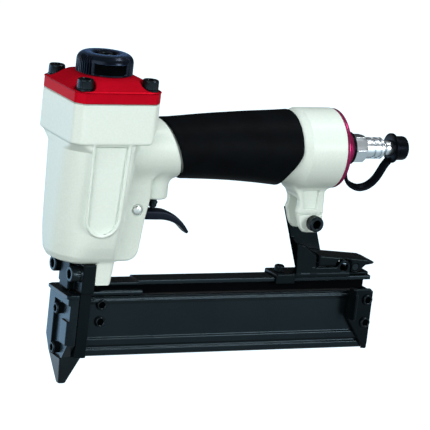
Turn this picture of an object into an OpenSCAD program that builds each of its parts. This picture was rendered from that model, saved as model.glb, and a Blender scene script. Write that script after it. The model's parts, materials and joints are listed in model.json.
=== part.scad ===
// Pneumatic micro pin nailer.
// Origin: centre of the nose tip's face, on the drive line.
// +Z runs up the drive line to the head, +X runs back along the magazine to the air plug.

/* [Casing] */
// Side of the square upper block and head, in plan
casing_side = 48; // [46.5:0.5:50]
// Chamfer on the vertical corners of the block and head
casing_chamfer = 4.1; // [2.5:0.1:5]
// Distance of the drive line behind the casing's front face
drive_depth = 17.2; // [16.8:0.1:17.6]
// Height of the square upper block
block_height = 20.7; // [16:0.1:24]
// Step from the block's side face in to the barrel's flat
flat_step = 1.2; // [0.8:0.1:1.6]
// Bulge of the barrel's rounded corners beyond half the casing's side, just below the block
barrel_bulge = 1; // [0:0.1:2]
// How much the barrel's radius shrinks from the block down to its foot
barrel_taper = 1.2; // [0.7:0.1:2]
// Height of the barrel's underside above the magazine rail
barrel_rise = 11.5; // [11.4:0.1:12]
// Distance of the air chamber's axis behind the drive line
chamber_offset = 3; // [2.8:0.1:3.4]
// Wall between the block's front face and the air chamber around the sleeve
chamber_wall = 3.8; // [3.4:0.1:4]
// Distance from the casing's axis back to where the barrel's flat ends, at the height of the trigger pin
cut_setback = 7.6; // [6.5:0.1:9]
// Turn of the cut face between the barrel's flat and the trigger housing, in degrees
cut_angle = 31.9; // [28:0.1:34]
// Backward lean of that cut face towards the block, in degrees
cut_lean = 5.3; // [3:0.1:6]
// Depth of the U-shaped pocket on each side of the barrel
pocket_depth = 1.2; // [0.6:0.1:1.6]
// Width of that pocket
pocket_width = 18.6; // [14:0.2:20]
// Height of the lowest point of that pocket above the barrel's underside
pocket_rise = 17.5; // [14:0.5:27]

/* [Head and exhaust] */
// Height of the head's upright wall
head_wall = 6.6; // [5:0.1:8]
// Rise of the head's sloped roof
head_roof = 5; // [4:0.1:6]
// Thickness of the head gasket
gasket_thickness = 0.6; // [0.4:0.1:1]
// Distance of a head screw from the casing's side faces
head_screw_edge = 5.9; // [5.6:0.1:6.2]
// Radius of the exhaust cap
cap_radius = 14.7; // [13.5:0.1:15.5]
// Height of the exhaust cap
cap_height = 10.5; // [9.5:0.1:12]
// Number of ribs round the exhaust cap
cap_ribs = 60; // [40:1:72]
// Width of the exhaust port in the cap's wall
port_width = 17; // [10:0.5:17]
// Direction in which the exhaust port faces, in degrees from +X
port_angle = -100; // [-180:1:180]

/* [Piston and valves] */
// Bore radius of the cylinder sleeve
sleeve_bore = 10.8; // [10:0.1:11]
// Wall of the cylinder sleeve
sleeve_wall = 1; // [0.8:0.05:1.1]
// Thickness of the casting under the sleeve
floor_thickness = 7; // [6:0.5:8]
// Height of the bumper
bumper_height = 10; // [7:0.5:11]
// Driving stroke of the piston
stroke = 50; // [47:0.5:50.5]
// Height of the piston
piston_height = 9; // [7:0.5:9.5]
// Thickness of the driver blade, along X
blade_thickness = 1; // [0.8:0.1:1.4]
// Width of the driver blade, along Y
blade_width = 2; // [1.5:0.1:2.6]
// Lift of the head valve
head_valve_lift = 3.5; // [2:0.1:4]
// Radius of the head valve
head_valve_radius = 12.8; // [12.4:0.1:12.9]
// Distance of the sleeve's top below the joint between body and head
sleeve_drop = 8.2; // [7.8:0.1:8.6]

/* [Trigger] */
// Place of the trigger pin along X
trigger_pin_x = 29.7; // [29:0.1:30.5]
// Height of the trigger pin above the barrel's underside
trigger_pin_rise = 27.1; // [26:0.1:28]
// Diameter of the trigger pin
trigger_pin_d = 5; // [4:0.1:5.4]
// Width of the trigger lever
trigger_width = 8; // [6:0.2:9]
// Width of the trigger housing
housing_width = 18; // [16:0.5:20]
// Place of the trigger valve's axis along X
valve_x = 42.5; // [42:0.1:43]
// Outer radius of the valve body
valve_radius = 5.5; // [5:0.1:5.6]
// Wall of the boss round the valve body
boss_wall = 1.6; // [1.2:0.1:2.4]

/* [Handle] */
// Height of the handle's axis above the barrel's underside
handle_rise = 58.6; // [57.6:0.2:59.4]
// Radius of the metal handle under the grip
core_radius = 13.4; // [12.8:0.1:14]
// Radius of the air duct in the handle
duct_radius = 10.2; // [8:0.1:10.6]
// Radius of the bare neck in front of the grip
neck_radius = 15.6; // [15:0.1:16.2]
// Radius of the grip at its front edge
grip_front_radius = 16; // [15.6:0.1:17]
// Radius of the grip at its rear edge
grip_rear_radius = 20.8; // [20:0.1:21.2]
// Place of the grip's slanted front edge, where it crosses the handle's axis
grip_front = 48; // [46.8:0.1:49]
// Slant of the grip's front edge, in degrees
grip_slant = 20; // [14:1:22]
// Place of the grip's rear edge
grip_rear = 118; // [116.5:0.5:119]
// Radius of the rear barrel
rear_radius = 21.7; // [21.4:0.1:22.6]
// Place of the rear barrel's end
rear_end = 143.9; // [142.5:0.1:147]

/* [Air inlet] */
// Radius of the end cap's plug in the rear barrel
plug_radius = 18; // [17:0.1:19]
// Thickness of the end cap's ring
end_ring = 2.4; // [2:0.1:3]
// Height of the end cap's dome behind its ring
end_dome = 8.6; // [7:0.1:10]
// Width across the flats of the air plug's hexagon
hex_flats = 14; // [13:0.5:15]
// Length of the air plug's hexagon
hex_length = 7.4; // [6:0.1:8]
// Radius of the air plug's collar
collar_radius = 5.85; // [5.2:0.05:6.2]
// Length of the air plug's collar
collar_length = 11.5; // [10:0.1:13]
// Radius of the air plug's nose
nose_radius = 4.2; // [3.8:0.1:4.6]
// Length of the air plug's nose and waist
nose_length = 12.7; // [11:0.1:14]
// Radius of the dust cap
dust_radius = 6.55; // [6:0.05:7]
// Radius of the dust cap's flange
dust_flange_radius = 8.1; // [7.6:0.1:9]

/* [Nose] */
// Width of the nose block
nose_width = 25.4; // [24:0.2:27]
// Distance of the nose's front face ahead of the drive line
nose_front_x = 5.5; // [5:0.1:6.5]
// Distance of the nose plate's back face behind the drive line
nose_back_x = 7; // [6.5:0.1:7.4]
// Height of the nose block's top above the magazine slide
nose_rise = 2.3; // [1.5:0.1:3]
// Height at which the nose starts to narrow
nose_taper = 24; // [22:0.5:27]
// Length of the tip's face, along X
tip_length = 3.8; // [3:0.1:5]
// Width of the tip's face, along Y
tip_width = 2.8; // [2.4:0.1:5]
// Width of the lug that holds the nose to the body
lug_width = 30; // [29.5:0.5:33]
// Thickness of the casting's tongue behind the lug
tongue_thickness = 9.1; // [8:0.1:10]
// Distance of the lug screws below the barrel's underside
lug_screw_drop = 5.8; // [5.4:0.1:6.5]
// Distance between the lug screws
lug_screw_gap = 21.6; // [20:0.1:21.8]

/* [Magazine] */
// Width of the magazine
magazine_width = 18; // [17.5:0.1:19]
// Height of the magazine slide's underside
slide_bottom = 16.6; // [16:0.1:18]
// Height of the magazine slide's top
slide_top = 49; // [48.5:0.1:49.4]
// Place of the magazine's rear end
magazine_end = 174.6; // [174:0.1:180]
// Thickness of the magazine slide's walls
slide_wall = 2.2; // [2:0.1:2.5]
// Width of the pin channel
pin_channel = 0.9; // [0.8:0.05:1.2]
// Height of the fixed rail's top above the slide
rail_rise = 7.5; // [7:0.1:7.6]
// Width of the fixed rail's top
rail_width = 11.4; // [10:0.2:12]
// Place of the fixed rail's rear end
rail_end = 177; // [175:0.5:180]
// Thickness of the fixed rail's top flange
rail_flange = 2.4; // [2:0.1:2.8]
// Thickness of the slide's end plate
end_plate = 2; // [1.5:0.1:2.5]
// Reach of the finger tab beyond the end plate
finger_tab = 6.5; // [4:0.5:8]

/* [Bracket and latch] */
// Width of the rear leg
leg_width = 15; // [14:0.2:15.6]
// Distance of the rear leg's underside below the handle's axis
leg_drop = 45.1; // [44.1:0.1:45.6]
// Place of the leg screw along X
leg_screw_x = 135.5; // [134.5:0.1:136.5]
// Height of the leg screw above the leg's underside
leg_screw_rise = 5.7; // [5.1:0.1:6.5]
// Thickness of the bracket's folded sheet
sheet = 2; // [1.5:0.1:2.2]
// Width of the bracket's channel and of the latch lever
channel_width = 14.4; // [14:0.2:14.8]
// Place of the latch pin along X
latch_pin_x = 165.8; // [165.5:0.1:166.5]
// Height of the latch pin above the rail
latch_pin_rise = 5.3; // [5.1:0.1:5.6]
// Radius of the hanging hole in the bracket's ears
hang_radius = 2.2; // [1.8:0.05:2.4]

/* [Fits] */
// Radial clearance of pieces that are fixed in each other
fit = 0.05; // [0.03:0.01:0.08]
// Radial clearance of pins, shafts and pistons that move
run = 0.06; // [0.03:0.01:0.09]
// Gap between pieces that pass each other
gap = 0.3; // [0.25:0.05:0.4]

/* [Hidden] */
$fn = 64;
over = 1;
casing_offset = casing_side / 2 - drive_depth;
barrel_flat = casing_side / 2 - flat_step;
barrel_radius = casing_side / 2 + barrel_bulge;
barrel_foot_radius = barrel_radius - barrel_taper;
chamber_radius = drive_depth + chamber_offset - chamber_wall;
head_screw_offset = casing_side / 2 - head_screw_edge;
nose_top = slide_top + nose_rise;
rail_top = slide_top + rail_rise;
barrel_bottom = rail_top + barrel_rise;
pocket_bottom = barrel_bottom + pocket_rise;
trigger_pin_z = barrel_bottom + trigger_pin_rise;
handle_z = barrel_bottom + handle_rise;
lug_screw_z = barrel_bottom - lug_screw_drop;
leg_bottom = handle_z - leg_drop;
leg_screw_z = leg_bottom + leg_screw_rise;
sleeve_outer = sleeve_bore + sleeve_wall;
sleeve_bottom = barrel_bottom + floor_thickness;
bumper_top = sleeve_bottom + bumper_height;
piston_bottom = bumper_top + gap + stroke;
piston_top = piston_bottom + piston_height;
sleeve_top = piston_top + 1;
casing_top = sleeve_top + sleeve_drop;
block_bottom = casing_top - block_height;
head_bottom = casing_top + gasket_thickness;
head_shoulder = head_bottom + head_wall;
head_top = head_shoulder + head_roof;
screw_seat = head_shoulder - 0.7;
blade_bottom = nose_top - 0.8;
valve_seat = sleeve_top + gap;
head_valve_height = 11.6;
head_valve_top = valve_seat + head_valve_height;
head_bore_top = head_valve_top + head_valve_lift + gap;
collar_thickness = 5;
collar_bottom = sleeve_top - collar_thickness - 3;
rear_bore = rear_end - 14;
grip_shoulder = 3.5;
plug_seat = rear_end + end_ring + end_dome;
strap_ring_thickness = 2.2;
hex_start = plug_seat + strap_ring_thickness;
collar_start = hex_start + hex_length;
nose_start = collar_start + collar_length;
plug_end = nose_start + nose_length;
dust_start = plug_end - 6.5;
dust_wall = 2.3;
dust_end = plug_end + gap + dust_wall;
dust_flange = 1.8;
parting_x = blade_thickness / 2 + run;
lug_bottom = nose_top + 0.7;
tongue_start = nose_back_x;
tongue_bottom = rail_top + 0.2;
lug_front = -0.3;
valve_bottom = trigger_pin_z + 5.9;
valve_height = 17;
boss_bottom = valve_bottom - 1;
boss_radius = valve_radius + boss_wall;
chamber_floor = sleeve_bottom + 8;
housing_rear = trigger_pin_x + 5.8;
stem_radius = 2;
stem_tip = trigger_pin_z - 1.3;
stem_collar_z = valve_bottom + 8.5;
slide_start = nose_back_x + gap;
half_magazine = magazine_width / 2;
slide_inner = half_magazine - slide_wall;
slide_floor = slide_bottom + 2.6;
core_inner = pin_channel / 2;
core_outer = slide_inner - gap;
flange_bottom = rail_top - rail_flange;
rail_flange_start = 36.5;
half_rail = rail_width / 2;
rail_neck = half_rail - 1.5;
rib_low = slide_top - 4.8;
rib_height = 1.6;
rib_depth = 0.8;
track_low = slide_floor + 10;
track_height = 10;
track_depth = 4.2;
spring_z = track_low + track_height / 2;
half_channel = channel_width / 2;
base_top = rail_top + sheet;
latch_pin_z = rail_top + latch_pin_rise;
latch_pin_radius = 1.9;
hang_x = latch_pin_x - 7.2;
upright_face = leg_width / 2 + fit;
bracket_start = 117.6;
bracket_screw_x = bracket_start + 5;
end_plate_x = magazine_end - 11;
end_plate_end = magazine_end + end_plate;
tab_height = 15;

// Shared shapes

// Children drawn along +Z are laid along +X, from the given place.
module along_x(x, y, z) {
    translate([x, y, z]) rotate([0, 90, 0]) children();
}

// Children drawn along +Z are laid along -Y, from the given place.
module along_near(x, y, z) {
    translate([x, y, z]) rotate([90, 0, 0]) children();
}

// An outline in X and Z, extruded across Y from one side to the other.
module across(low_y, high_y) {
    translate([0, high_y, 0]) rotate([90, 0, 0]) linear_extrude(high_y - low_y) children();
}

// An outline in X and Z, extruded between two distances from the middle plane, on one side of it.
module on_side(side, inner, outer) {
    across(side > 0 ? inner : -outer, side > 0 ? outer : -inner) children();
}

// An outline in Y and Z, extruded along X from one end to the other.
module lengthwise(low_x, high_x) {
    translate([low_x, 0, 0]) rotate([90, 0, 90]) linear_extrude(high_x - low_x) children();
}

module ring(outer, inner, height) {
    difference() {
        cylinder(r = outer, h = height);
        translate([0, 0, -over]) cylinder(r = inner, h = height + 2 * over);
    }
}

module o_ring(radius, cord) {
    rotate_extrude() translate([radius, 0]) circle(r = cord);
}

// A socket head cap screw: its head stands on z = 0 and its shank hangs below.
module cap_screw(size, length, head_d, head_h) {
    socket = size * 0.92;
    difference() {
        union() {
            cylinder(d = head_d, h = head_h);
            translate([0, 0, -length]) cylinder(d = size, h = length);
        }
        translate([0, 0, head_h * 0.45]) cylinder(d = socket, h = head_h, $fn = 6);
    }
}

m5 = 5;
m5_head = 8.5;
m4 = 4;
m4_head = 7;
m3 = 3;
m3_head = 5.5;
small_screw = 3.5;
small_head = 6;
small_head_height = 3.6;
lug_screw_length = 14;
washer = 1.1;
head_screw_length = 18;

function screw_hole(size) = size / 2 + fit;

// Points on an arc round a centre, from one angle to another.
function arc(centre, radius, from, to, steps) = [
    for (i = [0 : steps])
        let (a = from + (to - from) * i / steps)
        [centre[0] + radius * cos(a), centre[1] + radius * sin(a)]
];

// Chamfered square of the casing, in plan.
module casing_plan(side) {
    half = side / 2;
    cut = half - casing_chamfer;
    translate([casing_offset, 0])
        polygon([
            [half, -cut], [half, cut], [cut, half], [-cut, half],
            [-half, cut], [-half, -cut], [-cut, -half], [cut, -half]
        ]);
}

module at_head_screws(z) {
    for (sx = [-1, 1], sy = [-1, 1])
        translate([casing_offset + sx * head_screw_offset, sy * head_screw_offset, z])
            children();
}

// Everything ahead of the grip's slanted front edge.
module ahead_of_grip() {
    reach = 60;
    translate([grip_front, 0, handle_z]) rotate([0, -grip_slant, 0])
        translate([-reach, -reach / 2, -reach / 2]) cube([reach, reach, reach]);
}

// Body

// The barrel is round with four flats, and flares out below the block's corners.
module barrel() {
    foot = 18;
    flare = 4.4;
    flare_radius = barrel_radius + 4.2;
    intersection() {
        translate([0, 0, barrel_bottom]) linear_extrude(casing_top - barrel_bottom)
            casing_plan(2 * barrel_flat);
        translate([casing_offset, 0, 0])
            rotate_extrude($fn = 96)
                polygon([
                    [0, barrel_bottom], [barrel_foot_radius - 6, barrel_bottom],
                    [barrel_foot_radius - 3, barrel_bottom + 1.6],
                    [barrel_foot_radius - 1.3, barrel_bottom + 4.6],
                    [barrel_foot_radius, barrel_bottom + foot],
                    [barrel_radius, block_bottom - flare], [flare_radius, block_bottom],
                    [flare_radius, block_bottom + over], [0, block_bottom + over]
                ]);
    }
}

// Everything behind the slanted face that leads from the barrel's near flat back to the trigger housing.
module behind_near_cut() {
    reach = 120;
    translate([casing_offset + cut_setback, -barrel_flat, trigger_pin_z])
        rotate([0, cut_lean, -cut_angle])
            translate([0, -reach / 2, -reach / 2]) cube([reach, reach, reach]);
}

// The block's rear edge is bevelled below, over the neck.
module upper_block() {
    bevel_x = 4.4;
    bevel_z = 9;
    back = casing_offset + casing_side / 2;
    difference() {
        translate([0, 0, block_bottom]) linear_extrude(block_height) casing_plan(casing_side);
        across(-casing_side, casing_side)
            polygon([
                [back - bevel_x, block_bottom - over], [back - bevel_x, block_bottom],
                [back, block_bottom + bevel_z], [back + over, block_bottom + bevel_z],
                [back + over, block_bottom - over]
            ]);
    }
}

// Outline of a U-shaped pocket, hung from the block.
module pocket_outline() {
    round_end = pocket_width / 2 - 0.6;
    centre = casing_offset - 2.2;
    polygon(concat(
        [[centre + pocket_width / 2 + 0.6, block_bottom - 1.5],
         [centre - pocket_width / 2 + 0.2, block_bottom - 1.5]],
        arc([centre - 0.6, pocket_bottom + round_end], round_end, 180, 360, 16)
    ));
}

module side_pockets() {
    floor_y = barrel_flat - pocket_depth;
    across(-casing_side, -floor_y) pocket_outline();
    across(floor_y, casing_side) pocket_outline();
}

module trigger_housing() {
    corner = 5;
    foot = barrel_bottom - 0.2;
    lean = 2.9;
    across(-housing_width / 2, housing_width / 2)
        polygon(concat(
            [[casing_offset, foot]],
            arc([housing_rear - lean - corner, foot + corner], corner, 270, 355, 8),
            [[housing_rear, trigger_pin_z], [housing_rear, boss_bottom + 4],
             [housing_rear, handle_z], [casing_offset, handle_z]]
        ));
    translate([valve_x, 0, boss_bottom]) cylinder(r = boss_radius, h = handle_z - boss_bottom);
}

module handle_core() {
    start = chamber_offset + chamber_radius;
    along_x(start, 0, handle_z) cylinder(r = core_radius, h = grip_rear + grip_shoulder - start);
    intersection() {
        along_x(start, 0, handle_z) cylinder(r = neck_radius, h = grip_front);
        ahead_of_grip();
    }
    translate([0, 0, handle_z]) rotate([0, 90, 0])
        rotate_extrude($fn = 96)
            polygon([
                [0, grip_rear], [grip_rear_radius, grip_rear],
                [rear_radius, grip_rear + grip_shoulder], [rear_radius, rear_end], [0, rear_end]
            ]);
}

module rear_leg() {
    front = leg_screw_x - 9.7;
    back = leg_screw_x + 6;
    top = handle_z - rear_radius + 3;
    across(-leg_width / 2, leg_width / 2)
        polygon([
            [front - 4.6, top], [front - 3.8, leg_bottom + 23.5], [front - 1.5, leg_bottom + 21],
            [front, leg_bottom + 17.8], [front + 0.2, leg_bottom + 14.8], [front - 0.7, leg_bottom + 11.8],
            [front + 0.4, leg_bottom + 8.6], [front + 1.4, leg_bottom + 5.2], [front + 2.7, leg_bottom + 2.4],
            [front + 4.6, leg_bottom + 0.4], [front + 7, leg_bottom], [back - 1.8, leg_bottom],
            [back - 0.2, leg_bottom + 2], [back, leg_bottom + 11], [back - 0.7, top]
        ]);
}

module nose_tongue() {
    translate([tongue_start, -lug_width / 2, tongue_bottom])
        cube([tongue_thickness, lug_width, barrel_bottom + 6 - tongue_bottom]);
}

module at_lug_screws(x) {
    for (side = [-1, 1])
        along_x(x, side * lug_screw_gap / 2, lug_screw_z) children();
}

module body_casting() {
    groove_z = leg_bottom + 10.2;
    color("gainsboro")
    difference() {
        union() {
            difference() {
                union() {
                    difference() {
                        barrel();
                        behind_near_cut();
                        mirror([0, 1, 0]) behind_near_cut();
                    }
                    nose_tongue();
                }
                side_pockets();
            }
            upper_block();
            trigger_housing();
            handle_core();
            rear_leg();
        }
        // Air chamber, sleeve seat and driver passage
        translate([chamber_offset, 0, chamber_floor]) cylinder(r = chamber_radius, h = casing_top);
        translate([0, 0, sleeve_bottom]) cylinder(r = sleeve_outer + fit, h = casing_top);
        translate([0, 0, lug_bottom]) cylinder(r = blade_width, h = casing_top);
        // Air duct through the handle, and the seat of the end cap
        along_x(casing_offset, 0, handle_z) cylinder(r = duct_radius, h = rear_end);
        along_x(rear_bore, 0, handle_z) cylinder(r = plug_radius + fit, h = rear_end);
        // Trigger slot, pin hole and valve bore
        translate([trigger_pin_x - 5.4, -trigger_width / 2 - gap, barrel_bottom - over])
            cube([40, trigger_width + 2 * gap, boss_bottom - barrel_bottom + over]);
        along_near(trigger_pin_x, housing_width, trigger_pin_z)
            cylinder(d = trigger_pin_d + 2 * fit, h = 2 * housing_width);
        translate([valve_x, 0, boss_bottom - over])
            cylinder(r = valve_radius + fit, h = handle_z - boss_bottom);
        // Head screws, lug screws and leg screw
        at_head_screws(casing_top - head_screw_length)
            cylinder(r = screw_hole(m5), h = head_screw_length + over);
        at_lug_screws(tongue_start - over) cylinder(r = screw_hole(m5), h = tongue_thickness + 2);
        along_near(leg_screw_x, leg_width, leg_screw_z) cylinder(r = screw_hole(m5), h = 2 * leg_width);
        // Shallow panel and a groove on the leg's near side
        across(-leg_width / 2 - over, -leg_width / 2 + 0.7)
            polygon([
                [leg_screw_x - 9, leg_bottom + 22.9], [leg_screw_x - 6.5, leg_bottom + 13.6],
                [leg_screw_x + 1.4, leg_bottom + 13], [leg_screw_x + 1.5, leg_bottom + 17.3],
                [leg_screw_x + 1.8, leg_bottom + 23.4]
            ]);
        translate([leg_screw_x - 11, -leg_width / 2 - over, groove_z]) cube([20, over + 0.5, 0.6]);
    }
}

// Head, exhaust and drive

module cylinder_head() {
    roof_side = 31;
    vent = 2;
    vent_offset = 5;
    color("crimson")
    difference() {
        union() {
            translate([0, 0, head_bottom]) linear_extrude(head_wall) casing_plan(casing_side);
            hull() {
                translate([0, 0, head_shoulder - 0.01]) linear_extrude(0.01) casing_plan(casing_side - 1.4);
                translate([0, 0, head_top - 0.01]) linear_extrude(0.01) casing_plan(roof_side);
            }
        }
        translate([0, 0, head_bottom - over])
            cylinder(r = head_valve_radius + run, h = head_bore_top - head_bottom + over);
        at_head_screws(head_bottom - over) cylinder(r = screw_hole(m5), h = casing_side);
        at_head_screws(screw_seat) cylinder(d = m5_head + 2, h = casing_side);
        translate([casing_offset, 0, head_bottom]) cylinder(r = screw_hole(m5), h = casing_side);
        for (sx = [-1, 1], sy = [-1, 1])
            translate([casing_offset + sx * vent_offset, sy * vent_offset, head_bottom])
                cylinder(r = vent, h = casing_side);
    }
}

module head_gasket() {
    color("dimgray")
    difference() {
        translate([0, 0, casing_top]) linear_extrude(gasket_thickness) casing_plan(casing_side - 0.6);
        translate([chamber_offset, 0, casing_top - over]) cylinder(r = chamber_radius, h = 3);
        at_head_screws(casing_top - over) cylinder(r = screw_hole(m5), h = 3);
    }
}

module head_screws() {
    color("black")
    at_head_screws(screw_seat) {
        translate([0, 0, washer])
            cap_screw(m5, screw_seat + washer - casing_top + head_screw_length - 2, m5_head, m5);
        ring(m5_head / 2 + 0.2, m5 / 2 - over, washer);
    }
}

cap_floor = head_top + 0.3;
cap_top = head_top + cap_height;
recess_floor = cap_top - 2.8;

module exhaust_cap() {
    edge = 4.4;
    tooth = 0.5;
    wall = 2.4;
    hub = 5.2;
    inside = cap_radius - wall;
    color("black")
    translate([casing_offset, 0, 0])
    difference() {
        intersection() {
            translate([0, 0, cap_floor]) linear_extrude(cap_top - cap_floor)
                polygon([
                    for (i = [0 : 2 * cap_ribs - 1])
                        let (r = cap_radius - (i % 2) * tooth, a = i * 180 / cap_ribs)
                        [r * cos(a), r * sin(a)]
                ]);
            rotate_extrude($fn = 96)
                polygon(concat(
                    [[0, cap_floor], [cap_radius, cap_floor]],
                    arc([cap_radius - edge, cap_top - edge], edge, 0, 90, 8),
                    [[0, cap_top]]
                ));
        }
        // Recess for the screw head
        translate([0, 0, recess_floor]) cylinder(r = 6.5, h = cap_height);
        // Exhaust chamber round a central hub
        translate([0, 0, cap_floor - over]) ring(inside, hub, recess_floor - 1.6 - cap_floor + over);
        translate([0, 0, cap_floor - over]) cylinder(d = m5 + 2 * run, h = cap_height);
        // Exhaust port
        rotate([0, 0, port_angle])
            translate([hub + 1, -port_width / 2, cap_floor + 0.8])
                cube([cap_radius, port_width, recess_floor - 2.2 - cap_floor]);
    }
}

module exhaust_screw() {
    length = recess_floor + gap - head_bore_top - 0.5;
    color("black")
    translate([casing_offset, 0, recess_floor + gap]) cap_screw(m5, length, m5_head, 2);
}

module cylinder_sleeve() {
    color("silver")
    translate([0, 0, sleeve_bottom]) ring(sleeve_outer, sleeve_bore, sleeve_top - sleeve_bottom);
}

seal_cord = 0.8;

module sleeve_collar() {
    passage = 2;
    passage_wall = 1.6;
    passage_y = 5;
    color("lightgray")
    translate([0, 0, collar_bottom])
    difference() {
        translate([chamber_offset, 0, 0]) cylinder(r = chamber_radius - fit, h = collar_thickness);
        translate([0, 0, -over]) cylinder(r = sleeve_outer + fit, h = collar_thickness + 2 * over);
        for (side = [-1, 1])
            translate([chamber_offset + chamber_radius - passage - passage_wall, side * passage_y, -over])
                cylinder(r = passage, h = collar_thickness + 2 * over);
    }
}

module sleeve_seals() {
    cord = 0.55;
    color("black")
    translate([0, 0, collar_bottom + collar_thickness + cord]) o_ring(sleeve_outer + cord + fit, cord);
}

module bumper() {
    color("darkgoldenrod")
    translate([0, 0, sleeve_bottom]) ring(sleeve_bore - fit, blade_width, bumper_height);
}

ring_cord = 1;

module piston() {
    skirt = 3;
    groove = piston_height / 2;
    color("silver")
    difference() {
        translate([0, 0, piston_bottom]) cylinder(r = sleeve_bore - run, h = piston_height);
        translate([0, 0, piston_bottom + groove - ring_cord - fit])
            ring(sleeve_bore + over, sleeve_bore - 2 * ring_cord - run, 2 * (ring_cord + fit));
        translate([0, 0, piston_top - skirt]) cylinder(r = sleeve_bore - 4, h = skirt + over);
        translate([-blade_thickness / 2 - fit, -blade_width / 2 - fit, piston_bottom - over])
            cube([blade_thickness + 2 * fit, blade_width + 2 * fit, piston_height]);
    }
}

module piston_ring() {
    color("black")
    translate([0, 0, piston_bottom + piston_height / 2])
        o_ring(sleeve_bore - ring_cord - run, ring_cord - fit);
}

module driver_blade() {
    color("silver")
    translate([-blade_thickness / 2, -blade_width / 2, blade_bottom])
        cube([blade_thickness, blade_width, piston_top - 3 - blade_bottom]);
}

valve_cup = 8.2;
cup_depth = 5;

module head_valve() {
    color("ivory")
    difference() {
        translate([0, 0, valve_seat]) cylinder(r = head_valve_radius, h = head_valve_height);
        translate([0, 0, head_valve_top - cup_depth]) cylinder(r = valve_cup, h = cup_depth + over);
        translate([0, 0, head_bottom + 0.8 - fit])
            ring(head_valve_radius + over, head_valve_radius - 2 * seal_cord, 2 * (seal_cord + fit));
    }
}

module head_valve_ring() {
    color("black")
    translate([0, 0, head_bottom + 0.8 + seal_cord])
        o_ring(head_valve_radius - seal_cord, seal_cord - fit);
}

module head_valve_spring() {
    color("silver")
    translate([0, 0, head_valve_top - cup_depth])
        ring(valve_cup - 1, valve_cup - 2.2, head_bore_top - head_valve_top + cup_depth);
}

// Trigger and its valve

trigger_hub = 4.5;

module trigger() {
    pad = stem_tip - gap;
    pad_start = 6.5;
    pad_past_stem = 4;
    back_radius = 14;
    front_radius = 21;
    front_start = 17.3;
    root_height = 5;
    reach = 33.3;
    drop = 13.4;
    tip_radius = 1.2;
    color("darkslategray")
    difference() {
        across(-trigger_width / 2, trigger_width / 2)
            polygon(concat(
                arc([trigger_pin_x, trigger_pin_z], trigger_hub, 270, 90, 16),
                [[trigger_pin_x + pad_start, pad]],
                arc([valve_x + pad_past_stem, pad - back_radius], back_radius, 90, 45, 10),
                arc([trigger_pin_x + reach, trigger_pin_z - drop], tip_radius, 45, -140, 6),
                arc([trigger_pin_x + front_start, pad - root_height - front_radius], front_radius, 40, 90, 10)
            ));
        along_near(trigger_pin_x, trigger_width, trigger_pin_z)
            cylinder(d = trigger_pin_d + 2 * run, h = 2 * trigger_width);
    }
}

module trigger_pin() {
    color("lightgray")
    along_near(trigger_pin_x, housing_width / 2 + 0.4, trigger_pin_z)
        cylinder(d = trigger_pin_d, h = housing_width + 0.8);
}

valve_seal_low = 3.4;
valve_seal_high = 12;
spring_bore = 3.6;

module valve_body() {
    color("goldenrod")
    difference() {
        translate([valve_x, 0, valve_bottom]) cylinder(r = valve_radius, h = valve_height);
        translate([valve_x, 0, valve_bottom - over]) cylinder(r = stem_radius + run, h = valve_height);
        translate([valve_x, 0, stem_collar_z - gap]) cylinder(r = spring_bore, h = valve_height);
        for (rise = [valve_seal_low, valve_seal_high])
            translate([valve_x, 0, valve_bottom + rise - seal_cord])
                ring(valve_radius + over, valve_radius - 2 * seal_cord + fit, 2 * seal_cord);
    }
}

module valve_cap() {
    cap = 1.5;
    color("goldenrod")
    translate([valve_x, 0, valve_bottom + valve_height]) ring(valve_radius, 1.5, cap);
}

module valve_seals() {
    color("black")
    for (rise = [valve_seal_low, valve_seal_high])
        translate([valve_x, 0, valve_bottom + rise]) o_ring(valve_radius - seal_cord + fit, seal_cord - fit);
}

stem_collar = 1.5;

module valve_stem() {
    head = 2.4;
    nib = 1.4;
    nib_height = 1.2;
    head_height = 3;
    color("black")
    translate([valve_x, 0, 0]) {
        translate([0, 0, stem_tip]) cylinder(r = nib, h = nib_height + over);
        translate([0, 0, stem_tip + nib_height]) cylinder(r = head, h = head_height);
        translate([0, 0, stem_tip + nib_height])
            cylinder(r = stem_radius, h = stem_collar_z + stem_collar - stem_tip - nib_height);
        translate([0, 0, stem_collar_z]) cylinder(r = spring_bore - gap, h = stem_collar);
    }
}

module valve_spring() {
    bottom = stem_collar_z + stem_collar;
    color("silver")
    translate([valve_x, 0, bottom])
        ring(spring_bore - gap, spring_bore - 1.2, valve_bottom + valve_height - bottom);
}

// Handle and air inlet

module grip_sleeve() {
    middle = (grip_front + grip_rear) / 2;
    flare = grip_rear - 8;
    color("black")
    difference() {
        translate([0, 0, handle_z]) rotate([0, 90, 0])
            rotate_extrude($fn = 96)
                polygon([
                    [core_radius + fit, grip_front - 10], [grip_front_radius, grip_front - 10],
                    [grip_front_radius + 0.5, grip_front + 8], [grip_front_radius + 2, middle],
                    [grip_rear_radius - 0.9, flare], [grip_rear_radius, grip_rear],
                    [core_radius + fit, grip_rear]
                ]);
        ahead_of_grip();
    }
}

seal_setback = 4;
ring_step = 0.3;

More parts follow.
